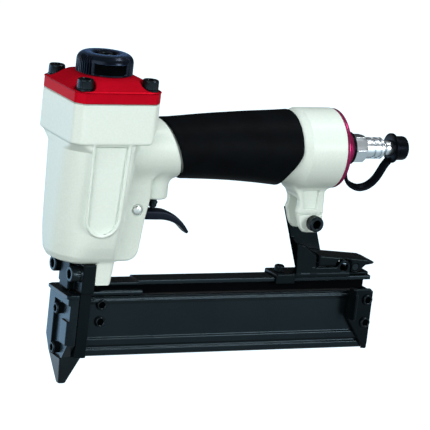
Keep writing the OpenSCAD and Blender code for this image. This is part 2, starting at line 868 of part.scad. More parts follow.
module end_cap() {
    groove_x = rear_bore + seal_setback;
    rim_step = 8.2;
    cone_foot = 3.6;
    cone_waist = 0.6;
    cone_lip = 0.4;
    rim = plug_radius - rim_step;
    ring_face = rear_end + end_ring;
    edge = rear_radius - ring_step;
    color("firebrick")
    difference() {
        translate([0, 0, handle_z]) rotate([0, 90, 0])
            rotate_extrude($fn = 96)
                polygon(concat(
                    [[0, rear_bore], [plug_radius, rear_bore], [plug_radius, rear_end],
                     [edge, rear_end], [edge, ring_face], [rim + cone_foot, ring_face],
                     [rim + cone_waist, ring_face + end_dome * 0.35], [rim, ring_face + end_dome * 0.85],
                     [rim - cone_lip, plug_seat], [0, plug_seat]]
                ));
        along_x(rear_bore - over, 0, handle_z)
            cylinder(d = hex_flats - 1 + 2 * fit, h = plug_seat - rear_bore + 2 * over);
        along_x(groove_x, 0, handle_z)
            ring(plug_radius + over, plug_radius - 2 * ring_cord, 2 * ring_cord + 2 * fit);
    }
}

module end_cap_seal() {
    color("black")
    along_x(rear_bore + seal_setback + ring_cord + fit, 0, handle_z)
        o_ring(plug_radius - ring_cord, ring_cord - fit);
}

module air_plug() {
    waist = 3.4;
    waist_end = nose_start + 2;
    bore = 2.6;
    groove = 0.7;
    color("silver")
    difference() {
        union() {
            along_x(rear_bore + 2, 0, handle_z) cylinder(d = hex_flats - 1, h = hex_start - rear_bore);
            along_x(hex_start, 0, handle_z) cylinder(d = hex_flats / cos(30), h = hex_length, $fn = 6);
            along_x(collar_start - over, 0, handle_z) cylinder(r = collar_radius, h = collar_length + over);
            along_x(nose_start - over, 0, handle_z) cylinder(r = waist, h = nose_length);
            along_x(waist_end, 0, handle_z) cylinder(r = nose_radius, h = plug_end - waist_end - 1);
            along_x(plug_end - 1, 0, handle_z) cylinder(r1 = nose_radius, r2 = nose_radius - 0.8, h = 1);
        }
        along_x(rear_bore, 0, handle_z) cylinder(r = bore, h = plug_end);
        for (share = [0.4, 0.73])
            along_x(collar_start + share * collar_length, 0, handle_z)
                ring(collar_radius + over, collar_radius - groove, 1.4);
    }
}

module dust_cap() {
    depth = plug_end + gap - dust_start;
    color("black")
    difference() {
        union() {
            along_x(dust_start, 0, handle_z) cylinder(r = dust_flange_radius, h = dust_flange);
            along_x(dust_start, 0, handle_z) cylinder(r = dust_radius, h = dust_end - dust_start - 1.2);
            along_x(dust_end - 1.2, 0, handle_z) cylinder(r1 = dust_radius, r2 = dust_radius - 1.2, h = 1.2);
        }
        along_x(dust_start - over, 0, handle_z) cylinder(r = nose_radius + run, h = depth + over);
    }
}

// The strap hangs in a loop from its ring on the air plug to the dust cap's flange.
strap_width = 3.8;
strap_thickness = 2.4;
strap_gap = 0.5;
strap_start = [plug_seat + strap_thickness / 2 + 0.15, handle_z - hex_flats / 2 - 1.3];
strap_end = [dust_start + dust_flange / 2, handle_z - dust_flange_radius - strap_gap];
strap_route = [
    strap_start, strap_start + [0, -3.4], strap_start + [0.5, -7.4], strap_start + [3.9, -11.8],
    strap_start + [9.1, -13.7], strap_start + [13.2, -12.3], strap_start + [17.6, -9.2],
    strap_start + [21.8, -5.6], strap_end + [-1.4, -2.6], strap_end
];

// Point on a smooth curve through the route's points, by the Catmull-Rom rule.
function route_at(points, t) =
    let (
        last = len(points) - 1,
        i = min(floor(t), last - 1),
        f = t - i,
        a = points[max(i - 1, 0)],
        b = points[i],
        c = points[i + 1],
        d = points[min(i + 2, last)]
    )
    0.5 * (2 * b + (c - a) * f + (2 * a - 5 * b + 4 * c - d) * f * f + (3 * b - a - 3 * c + d) * f * f * f);

// A closed tube with an oval section along a route in the X and Z plane.
module flat_strap(points, width, thickness, rings, sides) {
    last = len(points) - 1;
    places = [for (i = [0 : rings]) route_at(points, last * i / rings)];
    headings = [
        for (i = [0 : rings])
            let (step = places[min(i + 1, rings)] - places[max(i - 1, 0)])
            step / norm(step)
    ];
    vertices = [
        for (i = [0 : rings], k = [0 : sides - 1])
            let (a = 360 * k / sides, out = thickness / 2 * cos(a), sideways = width / 2 * sin(a))
            [places[i][0] - headings[i][1] * out, sideways, places[i][1] + headings[i][0] * out]
    ];
    walls = [
        for (i = [0 : rings - 1], k = [0 : sides - 1], half = [0, 1])
            let (n = (k + 1) % sides, p = i * sides, q = p + sides)
            half == 0 ? [p + k, p + n, q + k] : [p + n, q + n, q + k]
    ];
    start_cap = [for (k = [1 : sides - 2]) [0, k + 1, k]];
    end_cap_faces = [for (k = [1 : sides - 2]) [rings * sides, rings * sides + k, rings * sides + k + 1]];
    polyhedron(points = vertices, faces = concat(walls, start_cap, end_cap_faces));
}

module cap_strap() {
    rings = 36;
    sides = 10;
    ring_inner = hex_flats / 2 - 0.5 + fit;
    ring_wall = 2.3;
    color("black")
    union() {
        along_x(plug_seat, 0, handle_z) ring(ring_inner + ring_wall, ring_inner, strap_ring_thickness);
        flat_strap(strap_route, strap_width, strap_thickness, rings, sides);
    }
}

// Nose

slot_width = 9.6;
slot_depth = 2.8;
slot_top = nose_top - 6;
slot_bottom = 15.5;
strip_thickness = 1;
strip_grip = 1.2;
strip_screw_z = [slot_bottom + 4.3, slot_top - 4.3];
joint_screw_y = nose_width / 2 - 3.6;
joint_screw_z = [nose_taper + 4, nose_top - 7];
rail_screw_y = core_outer - 2.3;
rail_screw_z = [slide_floor + 7, slide_top - 9];

module at_joint_screws(x) {
    for (side = [-1, 1])
        along_x(x, side * joint_screw_y, side < 0 ? joint_screw_z[0] : joint_screw_z[1])
            children();
}

module nose_plate() {
    neck = 11;
    neck_front = 4;
    color("dimgray")
    difference() {
        union() {
            translate([parting_x, -nose_width / 2, slide_bottom + 0.4])
                cube([nose_back_x - parting_x, nose_width, nose_top - slide_bottom - 0.4]);
            translate([parting_x, -neck / 2, nose_top - over])
                cube([nose_back_x - parting_x, neck, 2 * over]);
            translate([lug_front, -lug_width / 2, lug_bottom])
                cube([tongue_start - lug_front, lug_width, barrel_bottom - lug_bottom]);
            translate([-neck_front, -neck / 2, lug_bottom])
                cube([neck_front + over, neck, barrel_bottom - lug_bottom]);
        }
        // Driver passage and pin feed slot
        translate([-blade_thickness / 2 - run, -blade_width / 2 - run, nose_top - 2 * over])
            cube([blade_thickness + 2 * run, blade_width + 2 * run, barrel_bottom]);
        translate([0, -pin_channel / 2, slide_floor])
            cube([nose_back_x + over, pin_channel, slide_top - slide_floor]);
        at_lug_screws(lug_front - over) cylinder(r = screw_hole(m5), h = 2 * tongue_thickness);
        at_joint_screws(-over) cylinder(r = screw_hole(m3), h = 2 * nose_back_x);
        at_joint_screws(nose_back_x - m3) cylinder(d = m3_head + 2 * fit, h = 2 * m3);
        for (z = rail_screw_z)
            along_x(-over, rail_screw_y, z) {
                cylinder(r = screw_hole(m3), h = 2 * nose_back_x);
                cylinder(d = m3_head + 2 * fit, h = over + parting_x + m3);
            }
    }
}

// The front block narrows in two stages to the tip.
module nose_front() {
    thin = 0.01;
    flange = 2.6;
    flange_reach = 1.2;
    heel = 16;
    channel = blade_thickness + run;
    color("dimgray")
    difference() {
        union() {
            translate([-nose_front_x, -nose_width / 2, nose_taper])
                cube([nose_front_x + parting_x, nose_width, nose_top - nose_taper]);
            translate([-nose_front_x - flange_reach, -nose_width / 2, nose_top - flange])
                cube([nose_front_x + flange_reach, nose_width, flange]);
            hull() {
                translate([-nose_front_x, -nose_width / 2, nose_taper])
                    cube([nose_front_x + parting_x, nose_width, thin]);
                translate([-nose_front_x, -heel / 2, slide_bottom])
                    cube([nose_front_x + parting_x, heel, thin]);
            }
            hull() {
                translate([-nose_front_x, -heel / 2, slide_bottom - thin])
                    cube([nose_front_x + nose_back_x, heel, thin]);
                translate([-tip_length / 2, -tip_width / 2, 0]) cube([tip_length, tip_width, thin]);
            }
        }
        // Driver channel down the back face
        translate([-blade_thickness / 2 - run, -blade_width / 2 - run, -over])
            cube([channel + run, blade_width + 2 * run, nose_top + 2 * over]);
        // Slot for the guide strip
        translate([-nose_front_x - over, -slot_width / 2, slot_bottom])
            cube([slot_depth + over, slot_width, slot_top - slot_bottom]);
        // Notches in the near edge, beside the strip's screws
        for (z = strip_screw_z)
            translate([-nose_front_x - over, -nose_width / 2 - over, z - small_head * 0.7])
                cube([over + 1.2, nose_width / 2, small_head * 1.4]);
        for (z = strip_screw_z)
            along_x(-nose_front_x, 0, z) cylinder(r = screw_hole(small_screw), h = slot_depth + 1.4);
        at_joint_screws(-m3) cylinder(r = screw_hole(m3), h = 4 * m3);
    }
}

strip_face = -nose_front_x + slot_depth - strip_thickness;

module guide_strip() {
    color("slategray")
    difference() {
        translate([strip_face, -slot_width / 2 + fit, slot_bottom + fit])
            cube([strip_thickness, slot_width - 2 * fit, slot_top - slot_bottom - 2 * fit]);
        for (z = strip_screw_z)
            along_x(strip_face - over, 0, z)
                cylinder(r = screw_hole(small_screw), h = strip_thickness + 2 * over);
    }
}

module strip_screws() {
    color("black")
    for (z = strip_screw_z)
        along_x(strip_face, 0, z) rotate([0, 180, 0])
            cap_screw(small_screw, strip_thickness + strip_grip, small_head, small_head_height);
}

// Cap screws with a washer under each head, through the lug into the tongue.
module lug_screws() {
    color("black")
    at_lug_screws(lug_front) rotate([0, 180, 0]) {
        translate([0, 0, washer]) cap_screw(m5, lug_screw_length + washer, m5_head, m5);
        ring(m5_head / 2 + 0.3, m5 / 2 - over, washer);
    }
}

module nose_joint_screws() {
    color("black")
    at_joint_screws(nose_back_x - m3) cap_screw(m3, nose_back_x, m3_head, m3 - gap);
}

// Magazine

module rail_section() {
    notch = rib_depth + gap;
    polygon([
        [core_inner, slide_floor + gap], [core_outer, slide_floor + gap],
        [core_outer, rib_low - gap], [core_outer - notch, rib_low - gap],
        [core_outer - notch, rib_low + rib_height + gap], [core_outer, rib_low + rib_height + gap],
        [core_outer, slide_top + gap], [rail_neck, slide_top + gap],
        [rail_neck, flange_bottom + over], [-rail_neck, flange_bottom + over],
        [-rail_neck, slide_top + gap], [core_inner, slide_top + gap]
    ]);
}

// The rail's rear end is rounded off.
module rail_end_outline(bottom, top) {
    corner = 2.4;
    polygon(concat(
        [[nose_back_x, bottom], [rail_end, bottom]],
        arc([rail_end - corner, top - corner], corner, 0, 90, 8),
        [[nose_back_x, top]]
    ));
}

module magazine_rail() {
    shelf = nose_top - slide_top + 0.6;
    shelf_end = rail_flange_start + 1;
    front_drop = 0.9;
    color("dimgray")
    difference() {
        union() {
            lengthwise(nose_back_x, magazine_end - gap) rail_section();
            across(-rail_neck, rail_neck) rail_end_outline(slide_top + gap, flange_bottom + over);
            translate([nose_back_x, -half_magazine, slide_top + gap])
                cube([shelf_end - nose_back_x, magazine_width, shelf]);
            across(-half_rail, half_rail) rail_end_outline(flange_bottom, rail_top);
        }
        // The front of the flange is lower
        translate([nose_back_x - over, -rail_width, rail_top - front_drop])
            cube([rail_flange_start - nose_back_x + over, 2 * rail_width, 2 * front_drop]);
        for (z = rail_screw_z)
            along_x(nose_back_x - over, rail_screw_y, z) cylinder(r = screw_hole(m3), h = 16);
        translate([bracket_screw_x, 0, slide_top]) cylinder(r = screw_hole(m3), h = rail_top);
    }
}

module rail_screws() {
    color("black")
    for (z = rail_screw_z)
        along_x(parting_x + m3, rail_screw_y, z) rotate([0, 180, 0])
            cap_screw(m3, nose_back_x + 6, m3_head, m3 - gap);
}

// Outer wall of the slide in section, with its long ridges, on one side.
function slide_side(side) = [
    for (p = [
        [0.8, slide_bottom], [0, slide_bottom + 0.8], [0, slide_bottom + 3.9], [0.7, slide_bottom + 4.3],
        [0.7, slide_bottom + 5.5], [0, slide_bottom + 5.9], [0, slide_bottom + 9.6],
        [0.5, slide_bottom + 10], [0.5, slide_top - 3.6], [0, slide_top - 3.2],
        [0, slide_top - 1.9], [0.6, slide_top - 1.6], [0.6, slide_top - 0.9], [0.2, slide_top]
    ])
        [side * (half_magazine - p[0]), p[1]]
];

function reversed(list) = [for (i = [len(list) - 1 : -1 : 0]) list[i]];

module slide_section() {
    polygon(concat(
        slide_side(-1),
        [[-slide_inner, slide_top], [-slide_inner, slide_floor], [slide_inner, slide_floor],
         [slide_inner, rib_low - 0.3], [slide_inner - rib_depth, rib_low],
         [slide_inner - rib_depth, rib_low + rib_height], [slide_inner, rib_low + rib_height + 0.3],
         [slide_inner, slide_top]],
        reversed(slide_side(1))
    ));
}

liner_screw_x = slide_start + 7.6;
liner_screw_z = [spring_z + 1.3, slide_top - 4.4];
end_screw_x = magazine_end - 1.6 - m4_head / 2 + 3.8;
end_screw_z = [slide_top - 17.4, slide_top - 4.6];
end_screw_length = 6;
liner_head = 5.8;

module at_liner_screws(y) {
    for (z = liner_screw_z)
        along_near(liner_screw_x, y, z) children();
}

module at_end_screws(y) {
    for (z = end_screw_z)
        along_near(end_screw_x, y, z) children();
}

module magazine_slide() {
    color("dimgray")
    difference() {
        lengthwise(slide_start, magazine_end) slide_section();
        at_liner_screws(-core_inner) cylinder(r = screw_hole(m4), h = magazine_width);
        at_liner_screws(-half_magazine + 0.5) cylinder(d = liner_head + 2 * fit, h = magazine_width);
        at_end_screws(-slide_inner + over) cylinder(r = screw_hole(m4), h = magazine_width);
    }
}

module slide_liner() {
    color("silver")
    difference() {
        translate([slide_start, -slide_inner + fit, slide_floor + fit])
            cube([
                magazine_end - 4 - slide_start,
                slide_inner - fit - core_inner,
                slide_top - slide_floor - gap
            ]);
        translate([slide_start + 2, -core_inner - track_depth, track_low])
            cube([magazine_end - 10 - slide_start, track_depth + over, track_height]);
        at_liner_screws(-slide_inner + 4) cylinder(r = screw_hole(m4), h = magazine_width);
        at_end_screws(-slide_inner + 4) cylinder(r = screw_hole(m4), h = magazine_width);
    }
}

module liner_screws() {
    head_h = 1.4;
    color("black")
    at_liner_screws(-half_magazine + 0.5) cap_screw(m4, 3.4, liner_head, head_h);
}

// Bent plate: a side flange with a finger tab, and a lip that closes the magazine's rear end.
module slide_end_plate() {
    foot = 3;
    foot_rise = 1.2;
    foot_round = 0.6;
    foot_slope = 3.8;
    top_rise = 1.4;
    tab_sheet = 1.6;
    tab_x = end_plate_x - 1.2;
    face = -half_magazine - end_plate;
    top = slide_top + top_rise;
    corner = 1.5;
    color("dimgray")
    difference() {
        union() {
            across(face, -half_magazine)
                polygon([
                    [end_plate_end, top - corner], [end_plate_end - corner, top],
                    [tab_x, top], [tab_x, slide_top - tab_height],
                    [end_plate_end - foot, slide_bottom + foot_rise], [end_plate_end - foot, slide_bottom],
                    [end_plate_end - foot_round, slide_bottom], [end_plate_end, slide_bottom + foot_slope]
                ]);
            translate([magazine_end, face, slide_bottom])
                cube([end_plate, magazine_width + end_plate, slide_top - slide_bottom]);
            translate([tab_x, face - finger_tab, slide_top - tab_height])
                cube([tab_sheet, finger_tab + over, tab_height + top_rise]);
        }
        at_end_screws(-half_magazine - end_plate + end_screw_length + over)
            cylinder(r = screw_hole(m4), h = magazine_width);
    }
}

module end_plate_screws() {
    head_h = 1.4;
    color("black")
    at_end_screws(-half_magazine - end_plate) cap_screw(m4, end_screw_length, m4_head - 1, head_h);
}

// Pusher carriage in the liner's track, with a blade in the pin channel.
pusher_start = slide_start + 4;
pusher_length = 14;
rod_radius = 1;

module pusher() {
    blade = pin_channel - 2 * gap / 2;
    color("silver")
    difference() {
        union() {
            translate([pusher_start, -core_inner - track_depth + gap, track_low + gap])
                cube([pusher_length, track_depth - gap + core_inner + blade / 2, track_height - 2 * gap]);
            translate([pusher_start, -blade / 2, slide_floor + 2 * gap])
                cube([pusher_length, blade, slide_top - slide_floor - 4 * gap]);
        }
        along_x(pusher_start - over, -core_inner - track_depth / 2, spring_z)
            cylinder(r = rod_radius + run, h = pusher_length + 2 * over);
    }
}

module pusher_rod() {
    start = slide_start + 2;
    color("silver")
    along_x(start, -core_inner - track_depth / 2, spring_z)
        cylinder(r = rod_radius, h = magazine_end - 8 - start);
}

module pusher_spring() {
    start = pusher_start + pusher_length;
    color("silver")
    along_x(start, -core_inner - track_depth / 2, spring_z)
        ring(track_depth / 2 - gap, rod_radius + gap, magazine_end - 8 - start);
}

// Bracket and latch

// The far wall rises to the leg as a slanted upright; the near wall stays low.
module rear_bracket() {
    foot_length = 11.5;
    foot_reach = half_channel;
    tab_bottom = flange_bottom - 1;
    ear = hang_radius + 1.8;
    wall_start = bracket_start + 20.2;
    wall_top = latch_pin_z + 0.2;
    inner_ear = half_channel - 2 * sheet - 0.2;
    ear_sheet = 1.5;
    pin_ear = latch_pin_radius + 1.2;
    cheek_x = bracket_start + 11.9;
    upright_low = cheek_x + 8.4;
    upright_high = leg_screw_x - 9.6;
    upright_top = leg_screw_z + 5;
    upright_length = 17.2;
    far = upright_face + sheet;
    web_top = rail_top + 18.4;
    web_far = upright_low - (upright_low - upright_high) * (web_top - rail_top) / (upright_top - rail_top);
    corner = 1.6;
    thin = 0.05;
    color("dimgray")
    difference() {
        union() {
            // Base on the rail, narrower under the lever's tail
            translate([bracket_start, -half_channel, rail_top])
                cube([hang_x + ear - bracket_start, channel_width, sheet]);
            across(-inner_ear - ear_sheet, inner_ear + ear_sheet)
                polygon(concat(
                    [[hang_x, rail_top], [rail_end - 1, rail_top]],
                    arc([rail_end - 1 - corner, rail_top + sheet - corner], corner, 0, 90, 6),
                    [[hang_x, rail_top + sheet]]
                ));
            translate([upright_low, 0, rail_top]) cube([upright_length, far, sheet]);
            // Foot with tabs over the rail's sides
            for (side = [-1, 1])
                translate([bracket_start, side > 0 ? half_rail : -foot_reach, tab_bottom])
                    cube([foot_length, foot_reach - half_rail, rail_top - tab_bottom + over]);
            // Upright that is clamped to the leg's far side
            across(upright_face, far)
                polygon([
                    [upright_low, rail_top], [upright_high, upright_top],
                    [upright_high + upright_length, upright_top], [upright_low + upright_length, rail_top]
                ]);
            // Near cheek and the skewed front web that joins it to the upright
            across(-half_channel, -half_channel + sheet)
                polygon([
                    [cheek_x, rail_top], [cheek_x - 1.5, web_top], [cheek_x - 0.6, rail_top + 19.2],
                    [cheek_x + 3.8, rail_top + 17.9], [cheek_x + 7.7, rail_top + 14.9],
                    [cheek_x + 11.4, rail_top + 12.2], [cheek_x + 12, rail_top]
                ]);
            hull() {
                across(-half_channel, -half_channel + thin)
                    polygon([
                        [cheek_x, rail_top], [cheek_x - 1.5, web_top],
                        [cheek_x - 1.5 + sheet, web_top], [cheek_x + sheet, rail_top]
                    ]);
                across(upright_face, upright_face + thin)
                    polygon([
                        [upright_low, rail_top], [web_far, web_top],
                        [web_far + sheet, web_top], [upright_low + sheet, rail_top]
                    ]);
            }
            // Side walls with the hanging ears
            for (side = [-1, 1])
                on_side(side, half_channel - sheet, half_channel) {
                    polygon([
                        [wall_start, rail_top], [wall_start + 0.8, wall_top], [hang_x - ear - 0.6, wall_top],
                        [hang_x, wall_top + 1], [hang_x + ear, latch_pin_z], [hang_x + ear, rail_top]
                    ]);
                    translate([hang_x, latch_pin_z]) circle(r = ear);
                }
            // Inner ears that carry the latch pin
            for (side = [-1, 1])
                on_side(side, inner_ear, inner_ear + ear_sheet) {
                    translate([latch_pin_x - pin_ear, rail_top]) square([2 * pin_ear, latch_pin_rise]);
                    translate([latch_pin_x, latch_pin_z]) circle(r = pin_ear);
                }
        }
        along_near(hang_x, channel_width, latch_pin_z) cylinder(r = hang_radius, h = 2 * channel_width);
        along_near(latch_pin_x, channel_width, latch_pin_z)
            cylinder(r = latch_pin_radius + fit, h = 2 * channel_width);
        along_near(leg_screw_x, leg_width, leg_screw_z) cylinder(r = screw_hole(m5), h = 2 * leg_width);
        translate([bracket_screw_x, 0, slide_top]) cylinder(r = screw_hole(m3), h = rail_top);
    }
}

module bracket_screw() {
    color("black")
    translate([bracket_screw_x, 0, base_top]) cap_screw(m3, base_top - slide_top - 2, m3_head, m3 + 0.4);
}

module leg_screw() {
    color("black")
    along_near(leg_screw_x, -leg_width / 2, leg_screw_z)
        cap_screw(m5, leg_width + sheet + m5, m5_head, m5);
}

module leg_nut() {
    nut = 4;
    start = upright_face + sheet;
    color("black")
    along_near(leg_screw_x, start + nut, leg_screw_z)
        difference() {
            cylinder(d = 9.2, h = nut, $fn = 6);
            translate([0, 0, -over]) cylinder(r = screw_hole(m5), h = nut + 2 * over);
        }
}

// Pressed channel: a sloping top, short skirts ahead of the ears, and a tail with the pin hole.
module latch_lever() {
    top = sheet * 0.65;
    skirt = sheet - gap;
    front_setback = 24.9;
    front_rise = 12.3;
    tail_reach = 7.7;
    tail_rise = 9.5;
    tip_reach = 4.2;
    tip_rise = 7.7;
    skirt_rise = 7;
    skirt_gap = 5.4;
    skirt_slope = 0.8;
    skirt_end_rise = 10.1;
    hub = 3.6;
    hub_front = 2.6;
    hub_rear = 6.5;
    front = bracket_start + front_setback;
    front_z = rail_top + front_rise;
    tail = latch_pin_x + tail_reach;
    tail_z = rail_top + tail_rise;
    tip = [tail + tip_reach, rail_top + tip_rise];
    skirt_end = hang_x - skirt_gap;
    skirt_z = rail_top + skirt_rise;
    color("dimgray")
    difference() {
        union() {
            across(-half_channel, half_channel)
                polygon([
                    [front, front_z], [tail, tail_z], tip, tip + [-0.8, -0.6],
                    [tail, tail_z - top], [front, front_z - top]
                ]);
            for (side = [-1, 1])
                on_side(side, half_channel - skirt, half_channel) {
                    polygon([
                        [front, front_z - top / 2], [front + 0.6, skirt_z], [skirt_end, skirt_z],
                        [skirt_end + skirt_slope, rail_top + skirt_end_rise],
                        [skirt_end + skirt_slope, rail_top + skirt_end_rise + 0.6]
                    ]);
                    polygon(concat(
                        [[latch_pin_x - hub_front, tail_z], [latch_pin_x - hub_front, latch_pin_z]],
                        arc([latch_pin_x, latch_pin_z], hub, 225, 315, 8),
                        [[latch_pin_x + hub_rear, latch_pin_z + 1], tip + [-1.2, -0.8], tip],
                        [[tail, tail_z - top / 2]]
                    ));
                }
        }
        along_near(latch_pin_x, channel_width, latch_pin_z)
            cylinder(r = latch_pin_radius + run, h = 2 * channel_width);
    }
}

module latch_pin() {
    color("gray")
    along_near(latch_pin_x, half_channel - gap, latch_pin_z)
        cylinder(r = latch_pin_radius, h = channel_width - 2 * gap);
}

module latch_spring() {
    half = half_channel - 2 * sheet - 0.5;
    color("silver")
    along_near(latch_pin_x, half, latch_pin_z)
        ring(latch_pin_radius + 1.2, latch_pin_radius + fit, 2 * half);
}

body_casting();
cylinder_head();
head_gasket();
head_screws();
exhaust_cap();
exhaust_screw();
cylinder_sleeve();
sleeve_collar();
sleeve_seals();
bumper();
piston();
piston_ring();
driver_blade();
head_valve();
head_valve_ring();
head_valve_spring();
trigger();
trigger_pin();
valve_body();
valve_cap();
valve_seals();
valve_stem();
valve_spring();
grip_sleeve();
end_cap();
end_cap_seal();
air_plug();
dust_cap();
cap_strap();
nose_plate();
nose_front();
guide_strip();
strip_screws();
lug_screws();
nose_joint_screws();
magazine_rail();
rail_screws();
rear_bracket();
bracket_screw();
leg_screw();
leg_nut();
magazine_slide();
slide_liner();
liner_screws();
slide_end_plate();
end_plate_screws();
pusher();
pusher_rod();
pusher_spring();
latch_lever();
latch_pin();
latch_spring();
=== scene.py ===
"""Micro pin nailer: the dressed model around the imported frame. Sizes are in millimetres, colours are sRGB."""

import json
import bmesh
import bpy
import numpy as np
from mathutils import Matrix


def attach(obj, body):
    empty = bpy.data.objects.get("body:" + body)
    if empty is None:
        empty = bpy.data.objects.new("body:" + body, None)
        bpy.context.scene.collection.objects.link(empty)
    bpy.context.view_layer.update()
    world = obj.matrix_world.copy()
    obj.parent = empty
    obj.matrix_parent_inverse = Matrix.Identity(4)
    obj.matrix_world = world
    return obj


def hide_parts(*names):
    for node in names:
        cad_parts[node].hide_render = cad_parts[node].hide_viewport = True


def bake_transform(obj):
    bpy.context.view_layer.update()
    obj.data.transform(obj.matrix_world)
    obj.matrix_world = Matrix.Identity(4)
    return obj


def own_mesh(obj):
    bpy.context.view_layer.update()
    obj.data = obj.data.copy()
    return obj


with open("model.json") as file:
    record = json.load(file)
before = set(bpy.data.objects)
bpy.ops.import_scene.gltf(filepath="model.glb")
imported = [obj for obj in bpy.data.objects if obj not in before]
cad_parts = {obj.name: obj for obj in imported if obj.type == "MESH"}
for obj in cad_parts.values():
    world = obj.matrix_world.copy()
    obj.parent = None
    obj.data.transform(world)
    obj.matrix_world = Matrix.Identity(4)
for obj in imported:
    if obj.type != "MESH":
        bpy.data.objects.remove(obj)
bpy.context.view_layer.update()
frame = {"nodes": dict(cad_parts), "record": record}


# Studio: a pale seamless floor well below the tool, a soft sky and four large lamps. The camera is a long
# lens turned a little on its own axis, as the tool leans in the picture.
view_target = np.array([79.938, 0, 89.902])
view_azimuth, view_height, view_roll = np.radians([-28.241, 13.24, 6.483])
view_distance = 1435.996
lens_in_widths = 2718.35 / 430
sensor = 36
floor_z = -70
floor_half = 9000
floor_colour = "#5E6361"
floor_glow = 1.25
floor_glow_colour = "#E6F6FF"
# Strength and colour of the painted cool reflection: a patch of the floor that glows in gloss alone behind the
# nose
painted_reflection_glow, painted_reflection_colour = 2.4, "#ADD9FF"
# Edges of the painted shade and of the painted cool reflection on the floor, both seen only in gloss, in metres
# as the floor's own coordinates are
painted_shade_start, painted_shade_end, painted_shade_level = -0.41, -0.32, 0.4
painted_reflection_start, painted_reflection_end, painted_reflection_left = 0.05, 0.2, -0.1
sky_colour = "#F6FBFF"
sky_rim, sky_low, sky_high, sky_seen = 0.3, 0.03, 0.4, 1.15
# Each lamp's place, width and watts
lamps = {
    "key_lamp": ([1250, -1850, 560], 640, 27.5),
    "side_lamp": ([-760, -560, 400], 900, 9.4),
    "rim_lamp": ([-560, 900, 130], 600, 2.0),
    "top_lamp": ([494, -190, 900], 180, 2.6),
}


def linear(code):
    """An sRGB hex colour as linear red, green, blue and an alpha of one."""
    value = np.array([int(code[i:i + 2], 16) for i in (1, 3, 5)]) / 255
    value = np.where(value <= 0.04045, value / 12.92, ((value + 0.055) / 1.055) ** 2.4)
    return (*value.tolist(), 1.0)


def add(owner, kind, inputs=None, **settings):
    """Adds one node with its settings; an input that is a socket is linked, any other is set."""
    node = owner.node_tree.nodes.new(kind)
    for key, value in settings.items():
        setattr(node, key, value)
    for key, value in (inputs or {}).items():
        if isinstance(value, bpy.types.NodeSocket):
            owner.node_tree.links.new(value, node.inputs[key])
        else:
            node.inputs[key].default_value = value
    return node


def set_mesh(name, points, faces):
    """A new mesh object from points in millimetres and rows of vertex numbers."""
    mesh = bpy.data.meshes.new(name)
    mesh.from_pydata((np.asarray(points, float) / 1000).tolist(), [], faces)
    mesh.update()
    piece = bpy.data.objects.new(name, mesh)
    bpy.context.scene.collection.objects.link(piece)
    return piece


scene = bpy.context.scene
scene.view_settings.view_transform = "Standard"
back = np.array([np.sin(view_azimuth) * np.cos(view_height), -np.cos(view_azimuth) * np.cos(view_height),
                 np.sin(view_height)])
level = np.array([np.cos(view_azimuth), np.sin(view_azimuth), 0])
upright = np.cross(back, level)
right = np.cos(view_roll) * level + np.sin(view_roll) * upright
up = -np.sin(view_roll) * level + np.cos(view_roll) * upright
camera = bpy.data.objects.new("camera", bpy.data.cameras.new("camera"))
scene.collection.objects.link(camera)
camera.data.sensor_width = sensor
camera.data.lens = lens_in_widths * sensor
camera.data.clip_end = 100
place = np.eye(4)
place[:3, :3] = np.stack([right, up, back], axis=1)
place[:3, 3] = (view_target + view_distance * back) / 1000
camera.matrix_world = Matrix(place.tolist())
scene.camera = camera

for lamp_name, (spot, size, watts) in lamps.items():
    lamp = bpy.data.objects.new(lamp_name, bpy.data.lights.new(lamp_name, "AREA"))
    lamp.data.size = size / 1000
    lamp.data.energy = watts
    away = (np.array(spot) - view_target) / np.linalg.norm(np.array(spot) - view_target)
    aside = np.cross([0, 0, 1], away) / np.linalg.norm(np.cross([0, 0, 1], away))
    place = np.eye(4)
    place[:3, :3] = np.stack([aside, np.cross(away, aside), away], axis=1)
    place[:3, 3] = np.array(spot) / 1000
    lamp.matrix_world = Matrix(place.tolist())
    scene.collection.objects.link(lamp)

# The sky lights the tool from overhead and is dim at its rim, as under a soft box; to the eye it is white.
sky = bpy.data.worlds.new("studio_sky")
scene.world = sky
sky.use_nodes = True
sky_shader = sky.node_tree.nodes["Background"]
aim = add(sky, "ShaderNodeSeparateXYZ", {0: add(sky, "ShaderNodeTexCoord").outputs["Generated"]})
climb = add(sky, "ShaderNodeMapRange", {"Value": aim.outputs["Z"], "From Min": sky_rim, "To Min": sky_low,
                                        "To Max": sky_high}, interpolation_type="SMOOTHSTEP")
sky_rays = add(sky, "ShaderNodeLightPath")
glow = add(sky, "ShaderNodeMix", {0: sky_rays.outputs["Is Camera Ray"], 2: climb.outputs[0], 3: sky_seen})
sky_shader.inputs["Color"].default_value = linear(sky_colour)
sky.node_tree.links.new(glow.outputs[0], sky_shader.inputs["Strength"])

# The paper glows to the eye and in gloss alone, so the unshaded floor comes out white and a shadow still shows.
# In gloss it also carries painted shade just before the tool, a painted shadow for the reflections low on the
# near sides, and a painted cool reflection behind its nose.
corners = np.array([[-1, -1], [1, -1], [1, 1], [-1, 1]]) * floor_half
floor = set_mesh("floor", np.column_stack([corners, np.full(4, floor_z)]), [[0, 1, 2, 3]])
paper = bpy.data.materials.new("studio_paper_matt")
paper.use_nodes = True
rays = add(paper, "ShaderNodeLightPath")
to_eye = rays.outputs["Is Camera Ray"]
spread_out = add(paper, "ShaderNodeSeparateXYZ", {0: add(paper, "ShaderNodeTexCoord").outputs["Object"]})
# Painted shade in gloss: the paper just before the tool glows less, so the lower near sides reflect it darker
painted_shade_ramp = add(paper, "ShaderNodeMapRange", {"Value": spread_out.outputs["Y"], "From Min": painted_shade_start,
                                         "From Max": painted_shade_end, "To Min": 1.0, "To Max": painted_shade_level},
           interpolation_type="SMOOTHSTEP")
